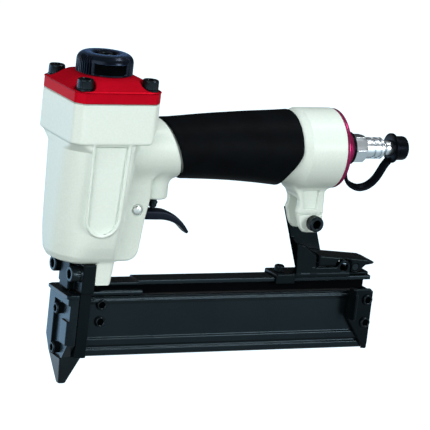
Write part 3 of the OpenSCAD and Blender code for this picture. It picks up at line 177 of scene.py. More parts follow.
# Painted reflection: a bright cool patch behind the nose and to its left, seen in gloss alone by the faces that
# look forward
behind = add(paper, "ShaderNodeMapRange", {"Value": spread_out.outputs["Y"], "From Min": painted_reflection_start,
                                           "From Max": painted_reflection_end})
leftward = add(paper, "ShaderNodeMapRange", {"Value": spread_out.outputs["X"], "From Min": 0.0,
                                             "From Max": painted_reflection_left})
behind = add(paper, "ShaderNodeMath", {0: behind.outputs[0], 1: leftward.outputs[0]}, operation="MULTIPLY")
shade = add(paper, "ShaderNodeMix", {0: behind.outputs[0], 2: painted_shade_ramp.outputs[0], 3: painted_reflection_glow})
hue = add(paper, "ShaderNodeMix", {0: behind.outputs[0], 6: linear(floor_glow_colour),
                                   7: linear(painted_reflection_colour)}, data_type="RGBA")
shade = add(paper, "ShaderNodeMix", {0: to_eye, 2: shade.outputs[0], 3: 1.0})
hue = add(paper, "ShaderNodeMix", {0: to_eye, 6: hue.outputs[2], 7: linear(floor_glow_colour)},
          data_type="RGBA")
seen = add(paper, "ShaderNodeMath", {0: to_eye, 1: rays.outputs["Is Glossy Ray"]}, operation="MAXIMUM")
seen = add(paper, "ShaderNodeMath", {0: seen.outputs[0], 1: shade.outputs[0]}, operation="MULTIPLY")
seen = add(paper, "ShaderNodeMath", {0: seen.outputs[0], 1: floor_glow}, operation="MULTIPLY")
paper_shader = paper.node_tree.nodes["Principled BSDF"]
paper_shader.inputs["Base Color"].default_value = linear(floor_colour)
paper_shader.inputs["Roughness"].default_value = 0.9
paper_shader.inputs["Specular IOR Level"].default_value = 0.0
paper.node_tree.links.new(hue.outputs[2], paper_shader.inputs["Emission Color"])
paper.node_tree.links.new(seen.outputs[0], paper_shader.inputs["Emission Strength"])
floor.data.materials.append(paper)


# Body: one aluminium casting with the square block, the round barrel with its pockets, the trigger housing,
# the valve boss, the handle and the rear leg, all run together with cast fillets and sprayed pearl white.
body_step = 0.75
body_low, body_high = np.array([-18.6, -25.2, 55.6]), np.array([145.5, 25.2, 154.8])
casing_x = 6.8
block_half, block_bottom, block_top, block_chamfer = 24, 132.8, 153.5, 4.1
slant_x, slant_rise, slant_run = 26.4, 9, 4.4
flat_half, barrel_foot = 22.8, 68.0
barrel_z = [60, 68, 69.6, 72.6, 79, 86, 128.4, 132.8, 160]
barrel_r = [13, 17.8, 20.8, 22.5, 23.3, 23.8, 25, 29.2, 29.2]
foot_z, foot_half = [66, 68, 72, 78, 86, 90], [14.6, 15.2, 18, 20.9, 24, 30]
# The wedge that runs down behind the nose: its ends, and its half width, front and rear at given heights
wedge_low, wedge_high = 56.7, 88
wedge_side = [56.7, 68, 86], [15, 15.6, 20.5]
wedge_front = [68, 86], [7, 15.5]
wedge_rear = [56.7, 74, 90], [16.1, 19.4, 24]
cut_x, cut_z, cut_turn, cut_lean = 14.4, 95.1, np.radians(31.9), np.radians(5.3)
# The long pocket on each flat, round at its lower end, with a bead round its edge
pocket_left, pocket_right = -4.6, ([94.2, 131.3], [12.7, 14.5])
pocket_x, pocket_z, pocket_r = 4.0, 94.2, 8.7
pocket_floor, pocket_top = 21.6, 131.6
bead_r, bead_top = 0.85, 132.5
housing_rear = [68, 92, 100], [32.4, 35.0, 36.6]
housing_low, housing_half = 67.8, 9
valve_x, boss_r, boss_low = 42.5, 7.1, 100.0
handle_z = 126.6
neck_r, rim_x, rim_lean = 15.6, 48, np.radians(20)
core_r, core_start, core_end = 13.4, 20, 130
rear_start, rear_end = 102, 143.9
rear_x = [100, 104, 110, 116, 118.0, 122.4, 122.8, 144]
rear_r = [17.4, 18.0, 18.4, 18.8, 19.2, 21.4, 21.7, 21.7]
leg_half = 7.5
leg_outline = [(121.2, 107.9), (122.0, 105.0), (124.3, 102.5), (125.8, 99.3), (126.0, 96.3), (125.1, 93.3),
               (126.2, 90.1), (127.2, 86.7), (128.5, 83.9), (130.4, 81.9), (132.8, 81.5), (139.7, 81.5),
               (141.3, 83.5), (141.5, 92.5), (140.8, 107.9)]
panel_outline = [(126.9, 104.4), (129.2, 95.1), (136.9, 94.5), (137.0, 98.8), (137.3, 104.9)]
panel_floor = 6.3
line_x, line_z, line_reach, line_half, line_floor = 133, 91.8, 9, 0.55, 6.5
slot_front, slot_half, slot_top = 24.3, 4.3, 100.0
pin_x, pin_z, pin_seat_r, pin_seat = 29.7, 95.1, 3.1, 8.3
valve_bore, valve_bore_top = 5.5, 112
piston_bore, piston_bore_low = 11.9, 75


def blend_union(a, b, width):
    """Two distance fields joined, with a fillet about as wide as the width where they meet."""
    share = np.clip(0.5 + 0.5 * (b - a) / width, 0, 1)
    return b + (a - b) * share - width * share * (1 - share)


def blend_meet(a, b, width):
    """What two distance fields share, with the edge between them rounded by the width."""
    return -blend_union(-a, -b, width)


def blend_cut(a, b, width):
    """The first field less the second, with the edge between them rounded by the width."""
    return blend_meet(a, -b, width)


def inside_outline(x, z, outline):
    """Signed distance to a closed outline: the least distance to any side, less than zero inside."""
    ring = np.array(outline, float)
    least = np.full(np.broadcast(x, z).shape, 1e9)
    odd = np.zeros(least.shape, bool)
    for (ax, az), (bx, bz) in zip(ring, np.roll(ring, -1, axis=0)):
        ex, ez = bx - ax, bz - az
        along = np.clip(((x - ax) * ex + (z - az) * ez) / (ex * ex + ez * ez), 0, 1)
        least = np.minimum(least, np.hypot(x - ax - along * ex, z - az - along * ez))
        crosses = (az > z) != (bz > z)
        odd ^= crosses & (x < ax + ex * (z - az) / (ez if ez else 1e-9))
    return np.where(odd, -least, least)


def chamfered_square(x, y, half, chamfer, soft=0.8):
    """Distance to a square with cut corners, in plan: its sides and the slanted corner lines."""
    across, along = np.abs(x - casing_x), np.abs(y)
    sides = blend_meet(across - half, along - half, soft)
    return blend_meet(sides, (across + along - 2 * half + chamfer) / np.sqrt(2), soft)


def body_field(x, y, z):
    """The casting as one distance field: each form is its own field, joined with fillets and then cut."""
    side = np.abs(y)
    # Block, slanted behind below, and barrel with its flats, its drawn-in foot and the wedge behind the nose
    block = blend_meet(chamfered_square(x, y, block_half, block_chamfer), block_bottom - z, 1.4)
    slant = ((x - slant_x) * slant_rise - (z - block_bottom) * slant_run) / np.hypot(slant_rise, slant_run)
    block = blend_meet(block, slant, 1.2)
    barrel = np.hypot(x - casing_x, y) - np.interp(z, barrel_z, barrel_r)
    barrel = blend_meet(barrel, chamfered_square(x, y, flat_half, block_chamfer), 1.2)
    barrel = blend_meet(barrel, barrel_foot - z, 2.0)
    barrel = blend_meet(barrel, (side - np.interp(z, foot_z, foot_half)) * 0.85, 3.0)
    wedge = blend_meet(side - np.interp(z, *wedge_side), np.interp(z, *wedge_front) - x, 0.5)
    wedge = blend_meet(wedge, x - np.interp(z, *wedge_rear), 0.8)
    wedge = np.maximum(wedge, np.maximum(wedge_low - z, z - wedge_high))
    barrel = blend_union(barrel, wedge, 0.6)
    behind = ((x - cut_x) * np.cos(cut_turn) + (side - flat_half) * np.sin(cut_turn)) * np.cos(cut_lean)
    barrel = blend_meet(barrel, behind - (z - cut_z) * np.sin(cut_lean), 1.2)
    # The pocket on each flat, and the bead that runs round its edge
    pocket = np.where(z > pocket_z, np.maximum(x - np.interp(z, *pocket_right), pocket_left - x),
                      np.hypot(x - pocket_x, z - pocket_z) - pocket_r)
    bead = np.hypot(pocket - 0.5, side - flat_half + 0.15) - bead_r
    barrel = blend_cut(barrel, np.maximum(np.maximum(pocket, pocket_floor - side), z - pocket_top), 0.7)
    barrel = blend_union(barrel, np.maximum(bead, z - bead_top), 0.5)
    casting = blend_union(barrel, block, 1.0)
    # Trigger housing and valve boss, and the handle's neck with its slanted rim
    housing = blend_meet(x - np.interp(z, *housing_rear), housing_low - z, 7.0)
    housing = np.maximum(np.maximum(housing, casing_x - x), z - handle_z)
    housing = blend_meet(housing, side - housing_half, 1.4)
    boss = blend_meet(np.hypot(x - valve_x, y) - boss_r, boss_low - z, 1.4)
    boss = np.maximum(boss, z - handle_z)
    round_handle = np.hypot(y, z - handle_z)
    rim = (x - rim_x) * np.cos(rim_lean) + (z - handle_z) * np.sin(rim_lean)
    neck = np.maximum(blend_meet(round_handle - neck_r, rim, 2.6), casing_x - x)
    housing = blend_union(blend_union(housing, boss, 3.0), neck, 4.5)
    casting = blend_union(casting, housing, 1.4)
    # Handle core under the grip, rear barrel, and the leg with its panel and the line below it
    core = np.maximum(np.maximum(round_handle - core_r, core_start - x), x - core_end)
    rear = np.maximum(round_handle - np.interp(x, rear_x, rear_r), rear_start - x)
    rear = blend_meet(rear, x - rear_end, 0.8)
    leg = blend_meet(inside_outline(x, z, leg_outline), side - leg_half, 1.4)
    rear = blend_union(rear, leg, 3.0)
    rear = blend_cut(rear, np.maximum(inside_outline(x, z, panel_outline), y + panel_floor), 0.5)
    line_cut = np.maximum(np.abs(z - line_z) - line_half, np.abs(x - line_x) - line_reach)
    line_cut = np.maximum(line_cut, y + line_floor)
    rear = blend_cut(rear, line_cut, 0.3)
    casting = np.minimum(np.minimum(casting, core), rear)
    # Trigger slot, pin seats, valve bore, and the bore that the piston runs in
    slot = np.maximum(np.maximum(slot_front - x, side - slot_half), z - slot_top)
    casting = blend_cut(casting, slot, 0.7)
    seat_cut = np.maximum(np.hypot(x - pin_x, z - pin_z) - pin_seat_r, pin_seat - side)
    casting = blend_cut(casting, seat_cut, 0.3)
    casting = blend_cut(casting, np.maximum(np.hypot(x - valve_x, y) - valve_bore, z - valve_bore_top), 0.4)
    casting = np.maximum(casting, -np.maximum(np.hypot(x, y) - piston_bore, piston_bore_low - z))
    return np.maximum(casting, z - block_top)


def skin_field(field, low, high, step):
    """A closed mesh where a field is zero. A cell of the grid that the surface crosses gets one point, the
    mean of its edge crossings, drawn onto the surface by Newton steps. Each crossed edge gives a quad."""
    counts = np.ceil((high - low) / step).astype(int) + 1
    axes = [low[i] + step * np.arange(counts[i]) for i in range(3)]
    value = field(axes[0][:, None, None], axes[1][None, :, None], axes[2][None, None, :])
    value = np.broadcast_to(value, counts)
    inner = value < 0
    corner = np.array([(i, j, k) for i in (0, 1) for j in (0, 1) for k in (0, 1)])
    shifted = [tuple(slice(c[i], counts[i] - 1 + c[i]) for i in range(3)) for c in corner]
    filled = sum(inner[part].astype(int) for part in shifted)
    cells = np.argwhere((filled > 0) & (filled < 8))
    number = np.full(counts - 1, -1)
    number[tuple(cells.T)] = np.arange(len(cells))
    at = np.stack([value[tuple((cells + c).T)] for c in corner], axis=1)
    total, hits = np.zeros((len(cells), 3)), np.zeros((len(cells), 1))
    for a in range(8):
        for b in range(a + 1, 8):
            if np.abs(corner[a] - corner[b]).sum() == 1:
                crossed = ((at[:, a] < 0) != (at[:, b] < 0))[:, None]
                share = (at[:, a] / np.where(crossed[:, 0], at[:, a] - at[:, b], 1))[:, None]
                total += np.where(crossed, corner[a] + share * (corner[b] - corner[a]), 0)
                hits += crossed
    points = low + step * (cells + total / hits)

    def slope(p, reach=0.02):
        """The field's change for a small step to either side along each axis."""
        return np.stack([(field(*(p + reach * e).T) - field(*(p - reach * e).T)) / (2 * reach)
                         for e in np.eye(3)], axis=1)

    for _ in range(3):
        grade = slope(points)
        move = field(*points.T)[:, None] * grade / np.maximum((grade ** 2).sum(1, keepdims=True), 0.05)
        points = points - np.clip(move, -step / 2, step / 2)
    quads = []
    for axis in range(3):
        u, v = (axis + 1) % 3, (axis + 2) % 3
        head = [slice(None)] * 3
        tail = [slice(None)] * 3
        head[axis], tail[axis] = slice(0, -1), slice(1, None)
        change = inner[tuple(head)] != inner[tuple(tail)]
        edges = np.argwhere(change)
        edges = edges[(edges[:, u] > 0) & (edges[:, v] > 0) & (edges[:, u] < counts[u] - 1)
                      & (edges[:, v] < counts[v] - 1)]
        du, dv = np.eye(3, dtype=int)[u], np.eye(3, dtype=int)[v]
        ring = np.stack([number[tuple((edges - s).T)] for s in (du + dv, dv, 0 * du, du)], axis=1)
        ring[~inner[tuple(edges.T)]] = ring[~inner[tuple(edges.T)]][:, ::-1]
        quads.append(ring)
    normals = slope(points)
    return points, np.concatenate(quads), normals / np.linalg.norm(normals, axis=1, keepdims=True)


def skinned(name, field, low, high, step, material):
    """A piece from a distance field, shaded with the field's own slope."""
    points, quads, normals = skin_field(field, np.array(low), np.array(high), step)
    piece = set_mesh(name, points, quads.tolist())
    piece.data.shade_smooth()
    piece.data.normals_split_custom_set_from_vertices(normals.tolist())
    piece.data.materials.append(material)
    return piece


def coated(name, colour, tint, patch, grain, depth, rough, spread, stretch=(1, 1, 1), **sockets):
    """A finish whose colour drifts to a tint in patches, and whose grain changes its roughness and stands up
    by a depth. Patch, grain and depth are in millimetres; stretch draws the grain out along an axis. A grain
    that is really a tenth of a millimetre or so is drawn 0.4 mm wide or more, so that it shows."""
    material = bpy.data.materials.new(name)
    material.use_nodes = True
    shader = material.node_tree.nodes["Principled BSDF"]
    where = add(material, "ShaderNodeTexCoord").outputs["Object"]
    drawn = add(material, "ShaderNodeMapping", {"Vector": where, "Scale": stretch}).outputs[0]
    drift = add(material, "ShaderNodeTexNoise", {"Vector": where, "Scale": 1000 / patch, "Detail": 3.0})
    speck = add(material, "ShaderNodeTexNoise", {"Vector": drawn, "Scale": 1000 / grain, "Detail": 2.0})
    drift = add(material, "ShaderNodeMapRange", {"Value": drift.outputs[0], "From Min": 0.36,
                                                 "From Max": 0.64})
    mixed = add(material, "ShaderNodeMix", {0: drift.outputs[0], 6: linear(colour), 7: linear(tint)},
                data_type="RGBA")
    sheen = add(material, "ShaderNodeMapRange", {"Value": speck.outputs[0], "From Min": 0.3, "From Max": 0.7,
                                                 "To Min": rough - spread, "To Max": rough + spread})
    raised = add(material, "ShaderNodeBump", {"Height": speck.outputs[0], "Distance": depth / 1000})
    for socket, source in (("Base Color", mixed.outputs[2]), ("Roughness", sheen.outputs[0]),
                           ("Normal", raised.outputs[0])):
        material.node_tree.links.new(source, shader.inputs[socket])
    for socket, value in sockets.items():
        shader.inputs[socket.replace("_", " ")].default_value = value
    return material


def fasten(piece, body, node):
    """Fixes a piece to its body and puts it in place of its solid."""
    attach(piece, body)
    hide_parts(node)


# Sprayed pearl lacquer on cast metal: nearly white where light falls on it, cool grey-green in shade, with a
# faint orange-peel skin and a thin clear coat.
body_paint = coated("pearl_lacquer_on_cast_aluminium", "#E0EDE5", "#DCE9E1", 1.1, 1.2, 0.006, 0.4, 0.05,
                    Specular_IOR_Level=0.12, Coat_Weight=0.06, Coat_Roughness=0.15)
body = skinned("body", body_field, body_low, body_high, body_step, body_paint)
fasten(body, "gun_body", "body_casting")


# Cylinder head: a square aluminium casting under red lacquer, with a hipped roof and a round pocket for each
# of the four corner screws that hold it on the block.
head_step = 0.4
head_bottom, head_shoulder, head_top = 154.1, 160.7, 165.7
roof_low_half, roof_half = 23.3, 15.5
screw_place, screw_seat, screw_pocket = 18.1, 160.0, 5.3


def head_field(x, y, z):
    """Chamfered square wall, a roof whose square shrinks with height, less four round screw pockets."""
    wall = blend_meet(chamfered_square(x, y, block_half, block_chamfer), z - head_shoulder, 0.9)
    rise = (z - head_shoulder) / (head_top - head_shoulder)
    roof_at = roof_low_half + (roof_half - roof_low_half) * rise
    roof = chamfered_square(x, y, roof_at, block_chamfer, 1.6) * 0.56
    roof = np.maximum(blend_meet(roof, z - head_top, 1.8), head_shoulder - 1 - z)
    solid = np.maximum(blend_union(wall, roof, 0.5), head_bottom - z)
    pocket = np.hypot(np.abs(x - casing_x) - screw_place, np.abs(y) - screw_place) - screw_pocket
    return blend_cut(solid, np.maximum(pocket, screw_seat - z), 0.8)


# Red lacquer over bright metal: deep and even, with a red sheen where it turns to the light.
head_paint = coated("red_gloss_lacquer", "#B40A20", "#AC091D", 14, 2.2, 0.001, 0.25, 0.02,
                    Metallic=0.12, Specular_IOR_Level=0.012, Specular_Tint=linear("#D8304A"))
head = skinned("cylinder_head_casting", head_field, (-18.6, -25.2, 153.6), (32.2, 25.2, 166.6), head_step,
               head_paint)
fasten(head, "gun_body", "cylinder_head")


# Cap screws: hardened steel blacked in oil, each with a knurled round head and a hexagon socket. Those of
# the head stand on plain washers, and the exhaust cap's one sits sunk in its middle.
knurls, knurl_depth = 30, 0.14
# A screw's head across, its height, and its socket across flats
m5_screw, m5_washer = (8.5, 5.0, 4.3), 1.1
exhaust_screw, exhaust_seat = (8.5, 2.0, 4.3), 173.7
to_front, to_near, to_top = (-1, 0, 0), (0, -1, 0), (0, 0, 1)
# Oiled black oxide: near black with a cool, fairly sharp gloss on the edges. Its darker, glossless copy is
# painted shade, laid in the sockets and on the bracket's front faces.
oxide = coated("black_oxide_steel", "#090C0E", "#0D1113", 3, 0.5, 0.01, 0.3, 0.06, Specular_IOR_Level=0.22,
               Specular_Tint=linear("#C4EBFF"))
painted_shade_oxide = coated("black_oxide_painted_shade", "#020304", "#040506", 3, 0.5, 0.01, 0.7, 0.05,
                    Specular_IOR_Level=0.0)


def tube_surface(grid, wrap_rows, wrap_columns):
    """Rows of vertex numbers for the quads of a grid of points, closed on itself along either way."""
    rows, columns = grid.shape[:2]
    number = np.arange(rows * columns).reshape(rows, columns)
    number = np.concatenate([number, number[:1]]) if wrap_rows else number
    number = np.concatenate([number, number[:, :1]], axis=1) if wrap_columns else number
    quads = np.stack([number[:-1, :-1], number[1:, :-1], number[1:, 1:], number[:-1, 1:]], axis=-1)
    return quads.reshape(-1, 4)


def closed_piece(name, grids, material, wrap_rows=False, smooth_angle=40):
    """One object from grids of points, each a closed surface: doubles at the poles are merged and the faces
    are turned outwards."""
    points, faces, start = [], [], 0
    for grid in grids:
        points.append(grid.reshape(-1, 3))
        faces.append(tube_surface(grid, wrap_rows, True) + start)
        start += grid.shape[0] * grid.shape[1]
    piece = set_mesh(name, np.concatenate(points), np.concatenate(faces).tolist())
    work = bmesh.new()
    work.from_mesh(piece.data)
    bmesh.ops.remove_doubles(work, verts=work.verts, dist=2e-6)
    bmesh.ops.dissolve_degenerate(work, edges=work.edges, dist=1e-6)
    bmesh.ops.recalc_face_normals(work, faces=work.faces)
    work.to_mesh(piece.data)
    work.free()
    piece.data.materials.append(material)
    piece.data.shade_smooth()
    piece.data.set_sharp_from_angle(angle=np.radians(smooth_angle))
    return piece


def turned(profile, turns, centre, axis, shape=None):
    """A profile of radius and height spun round an axis: P(row, angle) = centre + height along the axis +
    radius across it; shape may change the radius by row and angle."""
    radius, height = np.array(profile, float).T
    angle = np.linspace(0, 2 * np.pi, turns, endpoint=False)
    grid_r = np.repeat(radius[:, None], turns, axis=1)
    if shape is not None:
        grid_r = shape(grid_r, height[:, None], angle[None, :])
    along = np.array(axis, float)
    first = np.cross(along, [0, 1, 0] if abs(along[1]) < 0.5 else [1, 0, 0])
    first = first / np.linalg.norm(first)
    second = np.cross(along, first)
    across = np.cos(angle)[None, :, None] * first + np.sin(angle)[None, :, None] * second
    return np.array(centre, float) + height[:, None, None] * along + grid_r[..., None] * across


def cap_screw(centre, axis, head_d, head_h, socket, washer):
    """A washer, a knurled head with a rounded rim and a hexagon socket with a floor, as one surface."""
    r, top, wall = head_d / 2, washer + head_h, socket / 2 + 0.14
    profile = [(0, 0)] + ([(r + 0.2, 0), (r + 0.2, washer), (r - 0.6, washer)] if washer else [])
    profile += [(r - 0.35, washer), (r - 0.1, washer + 0.3), (r, washer + 0.31), (r, top - 0.9),
                (r - 0.05, top - 0.85), (r - 0.2, top - 0.35), (r - 0.6, top), (socket / 2 + 0.45, top),
                (socket / 2 + 0.15, top - 0.3), (wall, top - 0.31), (wall, top - head_h * 0.5),
                (0, top - head_h * 0.55)]

    def shape(radius, height, angle):
        """Knurls cut into the head's side, and the socket's wall drawn out to a hexagon."""
        on_side = (np.abs(radius - r) < 1e-6) * (height > washer + 0.3)
        knurl = knurl_depth * on_side * (0.5 - 0.5 * np.cos(knurls * angle))
        hexagon = np.cos(np.pi / 6) / np.cos((angle + np.pi / 6) % (np.pi / 3) - np.pi / 6)
        in_socket = (height < top - 0.305) & (np.abs(radius - wall) < 1e-6)
        return np.where(in_socket, radius / np.cos(np.pi / 6) * hexagon, radius - knurl)

    return turned(profile, 2 * knurls, centre, axis, shape)


def refinish(piece, chosen, material):
    """Gives a second finish to the faces that a test of their centres (in millimetres) and normals picks."""
    centres, normals = (np.zeros(3 * len(piece.data.polygons)) for _ in range(2))
    piece.data.polygons.foreach_get("center", centres)
    piece.data.polygons.foreach_get("normal", normals)
    piece.data.materials.append(material)
    picked = chosen(centres.reshape(-1, 3) * 1000, normals.reshape(-1, 3))
    piece.data.polygons.foreach_set("material_index", picked.astype(int))


def screws(node, body, places, axis, head_d, head_h, socket, washer=0.0):
    """All the screws of one node as one piece. The faces in a socket, known by their distance from the screw's
    axis and their height, take painted shade: a darker, glossless copy of the oxide."""
    grids = [cap_screw(centre, axis, head_d, head_h, socket, washer) for centre in places]
    piece = closed_piece(node + "_turned", grids, oxide)

    def in_socket(centres, normals):
        """Within the socket's corners, below the rim and above the head's seat."""
        away = centres[:, None] - np.array(places, float)
        height = away @ np.array(axis, float)
        across = np.linalg.norm(away - height[..., None] * np.array(axis, float), axis=2)
        return ((across < socket / 2 + 0.5) & (height > 0.1) & (height < washer + head_h - 0.2)).any(axis=1)

    # Painted shade in the sockets
    refinish(piece, in_socket, painted_shade_oxide)
    fasten(piece, body, node)


head_corners = [(casing_x + sx * screw_place, sy * screw_place, screw_seat)
                for sx in (-1, 1) for sy in (-1, 1)]
screws("head_screws", "gun_body", head_corners, to_top, *m5_screw, m5_washer)
screws("exhaust_screw", "gun_body", [(casing_x, 0, exhaust_seat)], to_top, *exhaust_screw)


# Exhaust deflector: a black cap of glossy moulded plastic, ribbed round its side for the fingers, with a
# smooth window where the air leaves and a sunk middle for its screw, on which it turns.
cap_r, cap_low, cap_high, cap_edge = 14.7, 166.0, 176.2, 4.4
cap_ribs, rib_depth = 60, 0.8
rib_in, rib_out, rib_low, rib_high = 12, 14.2, 166.2, 171.9
# The port's middle, counted from the front to the near side, and half its width
port_turn, port_half = np.radians(80), np.radians(38)
port_low, port_high, port_depth = 166.7, 172.2, 1.3
bend = np.linspace(0.02, np.pi / 2, 20)
side_z = np.concatenate([[cap_low, 166.3], np.linspace(166.7, 171.7, 16)])
edge_r, edge_z = cap_r - cap_edge + cap_edge * np.cos(bend), cap_high - cap_edge + cap_edge * np.sin(bend)
cap_profile = ([(0, cap_low + 0.6), (11.5, cap_low + 0.6), (11.6, cap_low), (cap_r - 0.4, cap_low)]
               + [(cap_r, z) for z in side_z] + list(zip(edge_r, edge_z))
               + [(8.2, cap_high), (7.3, cap_high - 0.15), (6.8, cap_high - 0.6), (6.6, 174.2), (6.4, 173.5),
                  (5.9, 173.4), (0, 173.4)])
# Moulded nylon: black with a blue-grey bloom at the edges. Between the ribs and in the port a darker, glossless
# copy is painted shade.
deflector = coated("gloss_moulded_nylon", "#06090D", "#0A0E14", 9, 0.8, 0.002, 0.24, 0.05,
                   Specular_IOR_Level=0.18, Specular_Tint=linear("#A9C4F0"), Sheen_Weight=0.5,
                   Sheen_Roughness=0.35, Sheen_Tint=linear("#6F9AD8"))
painted_shade_nylon = coated("moulded_nylon_painted_shade", "#030405", "#050708", 9, 0.8, 0.002, 0.6, 0.05,
                    Specular_IOR_Level=0.0)


def cap_shape(radius, height, angle):
    """Teeth on the side away from the window, and a sunk port inside the window."""
    off = np.abs((angle - port_turn + np.pi) % (2 * np.pi) - np.pi)
    window = np.clip((port_half + 0.1 - off) / 0.06, 0, 1)
    on_side = np.clip((radius - cap_r + cap_edge * 0.75) / 0.6, 0, 1) * (height < cap_high - 0.9)
    tooth = np.clip((np.abs((angle * cap_ribs / (2 * np.pi)) % 1 - 0.5) * 2 - 0.35) / 0.2, 0, 1)
    port = (np.clip((port_half - off) / 0.15, 0, 1) * np.clip((height - port_low) / 0.4, 0, 1)
            * np.clip((port_high - height) / 0.4, 0, 1) * (radius > cap_r - 0.6))
    return radius - rib_depth * tooth * on_side * (1 - window) - 0.2 * window * on_side - port_depth * port


def in_grooves(centres, normals):
    """On the cap's side, but deeper than its outer skin and outside its middle."""
    out = np.hypot(centres[:, 0] - casing_x, centres[:, 1])
    return (out > rib_in) & (out < rib_out) & (centres[:, 2] > rib_low) & (centres[:, 2] < rib_high)


cap = closed_piece("exhaust_deflector", [turned(cap_profile, 480, (casing_x, 0, 0), to_top, cap_shape)],
                   deflector, smooth_angle=50)
# Painted shade in the grooves between the ribs and in the port
refinish(cap, in_grooves, painted_shade_nylon)
fasten(cap, "exhaust", "exhaust_cap")


# Trigger: a curved finger lever of dark moulded nylon with rounded edges, that swings on a steel pin through
# its housing and presses the valve's stem.
trigger_top = np.array([(25.3, 95.2), (25.6, 96.7), (26.9, 98.6), (29.7, 99.5), (32.6, 97.6), (36, 94.2),
                        (42.7, 93.8), (48.6, 93.3), (52.7, 91.9), (55.4, 90.5), (58.3, 88.2), (60.5, 86.1),
                        (62.6, 83.6), (63.8, 81.9)])
trigger_low = np.array([(25.2, 94.6), (25.4, 93.2), (26.7, 91.4), (29.7, 90.5), (32.6, 89.6), (36, 88.6),
                        (42.7, 88.3), (47.5, 88.2), (50.9, 87.7), (53.6, 86.9), (56.2, 85.8), (58.4, 84.4),
                        (61.0, 82.0), (62.6, 80.7)])
# Half its width at given shares of its length
trigger_half = [0, 0.06, 0.8, 1], [3.2, 4, 4, 3.3]
trigger_rows, trigger_columns, trigger_power = 120, 48, 0.45
# Dark nylon from a fine mould: blue-black with a soft gloss along the upper edge.
trigger_nylon = coated("dark_moulded_nylon", "#10151D", "#161C26", 8, 0.6, 0.01, 0.34, 0.06,
                       Specular_IOR_Level=0.12, Specular_Tint=linear("#B9CCF0"))


def through(points, count):
    """Points on a smooth curve through the given ones, by the Catmull-Rom rule."""
    ends = np.concatenate([points[:1], points, points[-1:]])
    t = np.linspace(0, len(points) - 1, count)
    i = np.minimum(t.astype(int), len(points) - 2)
    f = (t - i)[:, None]
    a, b, c, d = (ends[i + k] for k in range(4))
    squared, cubed = 2 * a - 5 * b + 4 * c - d, 3 * b - a - 3 * c + d
    return 0.5 * (2 * b + (c - a) * f + squared * f ** 2 + cubed * f ** 3)


def end_closed(grid):
    """A tube's grid of points with its first and last ring each drawn together to a point."""
    first, last = (grid[i:i + 1].mean(axis=1, keepdims=True).repeat(grid.shape[1], axis=1)
                   for i in (0, len(grid) - 1))
    return np.concatenate([first, grid, last])


def loft(top, low, half, rows, columns, power):
    """A bar between two lines in X and Z: each section is an oval about their middle, squarer as the power
    falls, P = middle + gap / 2 * sin^power in X and Z and half width * cos^power in Y."""
    above, below = through(top, rows), through(low, rows)
    angle = np.linspace(0, 2 * np.pi, columns, endpoint=False)
    rise = np.sign(np.sin(angle)) * np.abs(np.sin(angle)) ** power
    reach = np.sign(np.cos(angle)) * np.abs(np.cos(angle)) ** power
    middle, gap = (above + below) / 2, (above - below) / 2
    flat = middle[:, None] + gap[:, None] * rise[None, :, None]
    wide = np.interp(np.linspace(0, 1, rows), *half)[:, None] * reach
    return end_closed(np.stack([flat[..., 0], wide, flat[..., 1]], axis=-1))


trigger_grid = loft(trigger_top, trigger_low, trigger_half, trigger_rows, trigger_columns, trigger_power)
trigger = closed_piece("trigger_lever", [trigger_grid], trigger_nylon, smooth_angle=50)
fasten(trigger, "trigger_lever", "trigger")


# Trigger pin: a ground steel pin with rounded ends, pressed through the housing, whose ends stand just proud
# of shallow seats.
pin_half, pin_r = 9.4, 2.5
pin_profile = [(0, 0), (1.9, 0), (2.3, 0.15), (pin_r, 0.5), (pin_r, 18.3), (2.3, 18.65), (1.9, 2 * pin_half),
               (0, 2 * pin_half)]
# Ground steel: a pale grey metal with a fine, slightly spread gloss.
ground_steel = coated("ground_steel", "#C9CCC8", "#B9BDBA", 4, 0.4, 0.004, 0.3, 0.08, Metallic=1.0)
pin = closed_piece("trigger_pin_turned", [turned(pin_profile, 48, (pin_x, -pin_half, pin_z), (0, 1, 0))],
                   ground_steel)
fasten(pin, "gun_body", "trigger_pin")


# Valve stem: a small steel spindle with two collars, turned in one and blacked in oil as the screws are. It
# slides in the valve's body, and the trigger lifts it.
stem_profile = [(0, 93.8), (1.2, 93.8), (1.4, 94.0), (1.4, 95.0), (1.9, 95.0), (2.1, 95.2), (2.1, 96.6),
                (2.35, 96.7), (2.5, 97.0), (2.5, 97.6), (2.3, 98.0), (2.0, 98.0), (2.0, 108), (0, 108)]
stem = closed_piece("valve_stem_turned", [turned(stem_profile, 40, (valve_x, 0, 0), to_top)], oxide)
fasten(stem, "stem", "valve_stem")


# Grip: a sleeve of black nitrile rubber drawn over the handle. It swells to the rear, its front edge slants
# with the neck's rim, and its rear edge runs forward below so that more of the shoulder shows there.
grip_x = [36, 48, 55, 66, 82.5, 100, 110, 118, 122]
grip_r = [16.0, 16.2, 16.5, 17.1, 18.0, 19.2, 19.95, 20.75, 20.9]
grip_front, grip_rear, grip_front_r = 48.2, 118.0, 15.9
grip_sweep, sweep_from, sweep_over = 6.3, 0.15, 0.95
grip_bow, bow_start, bow_length = 0.9, 46, 72
around = np.linspace(0, 2 * np.pi, 160, endpoint=False)
edge_turn = np.linspace(0, np.pi / 2, 6)
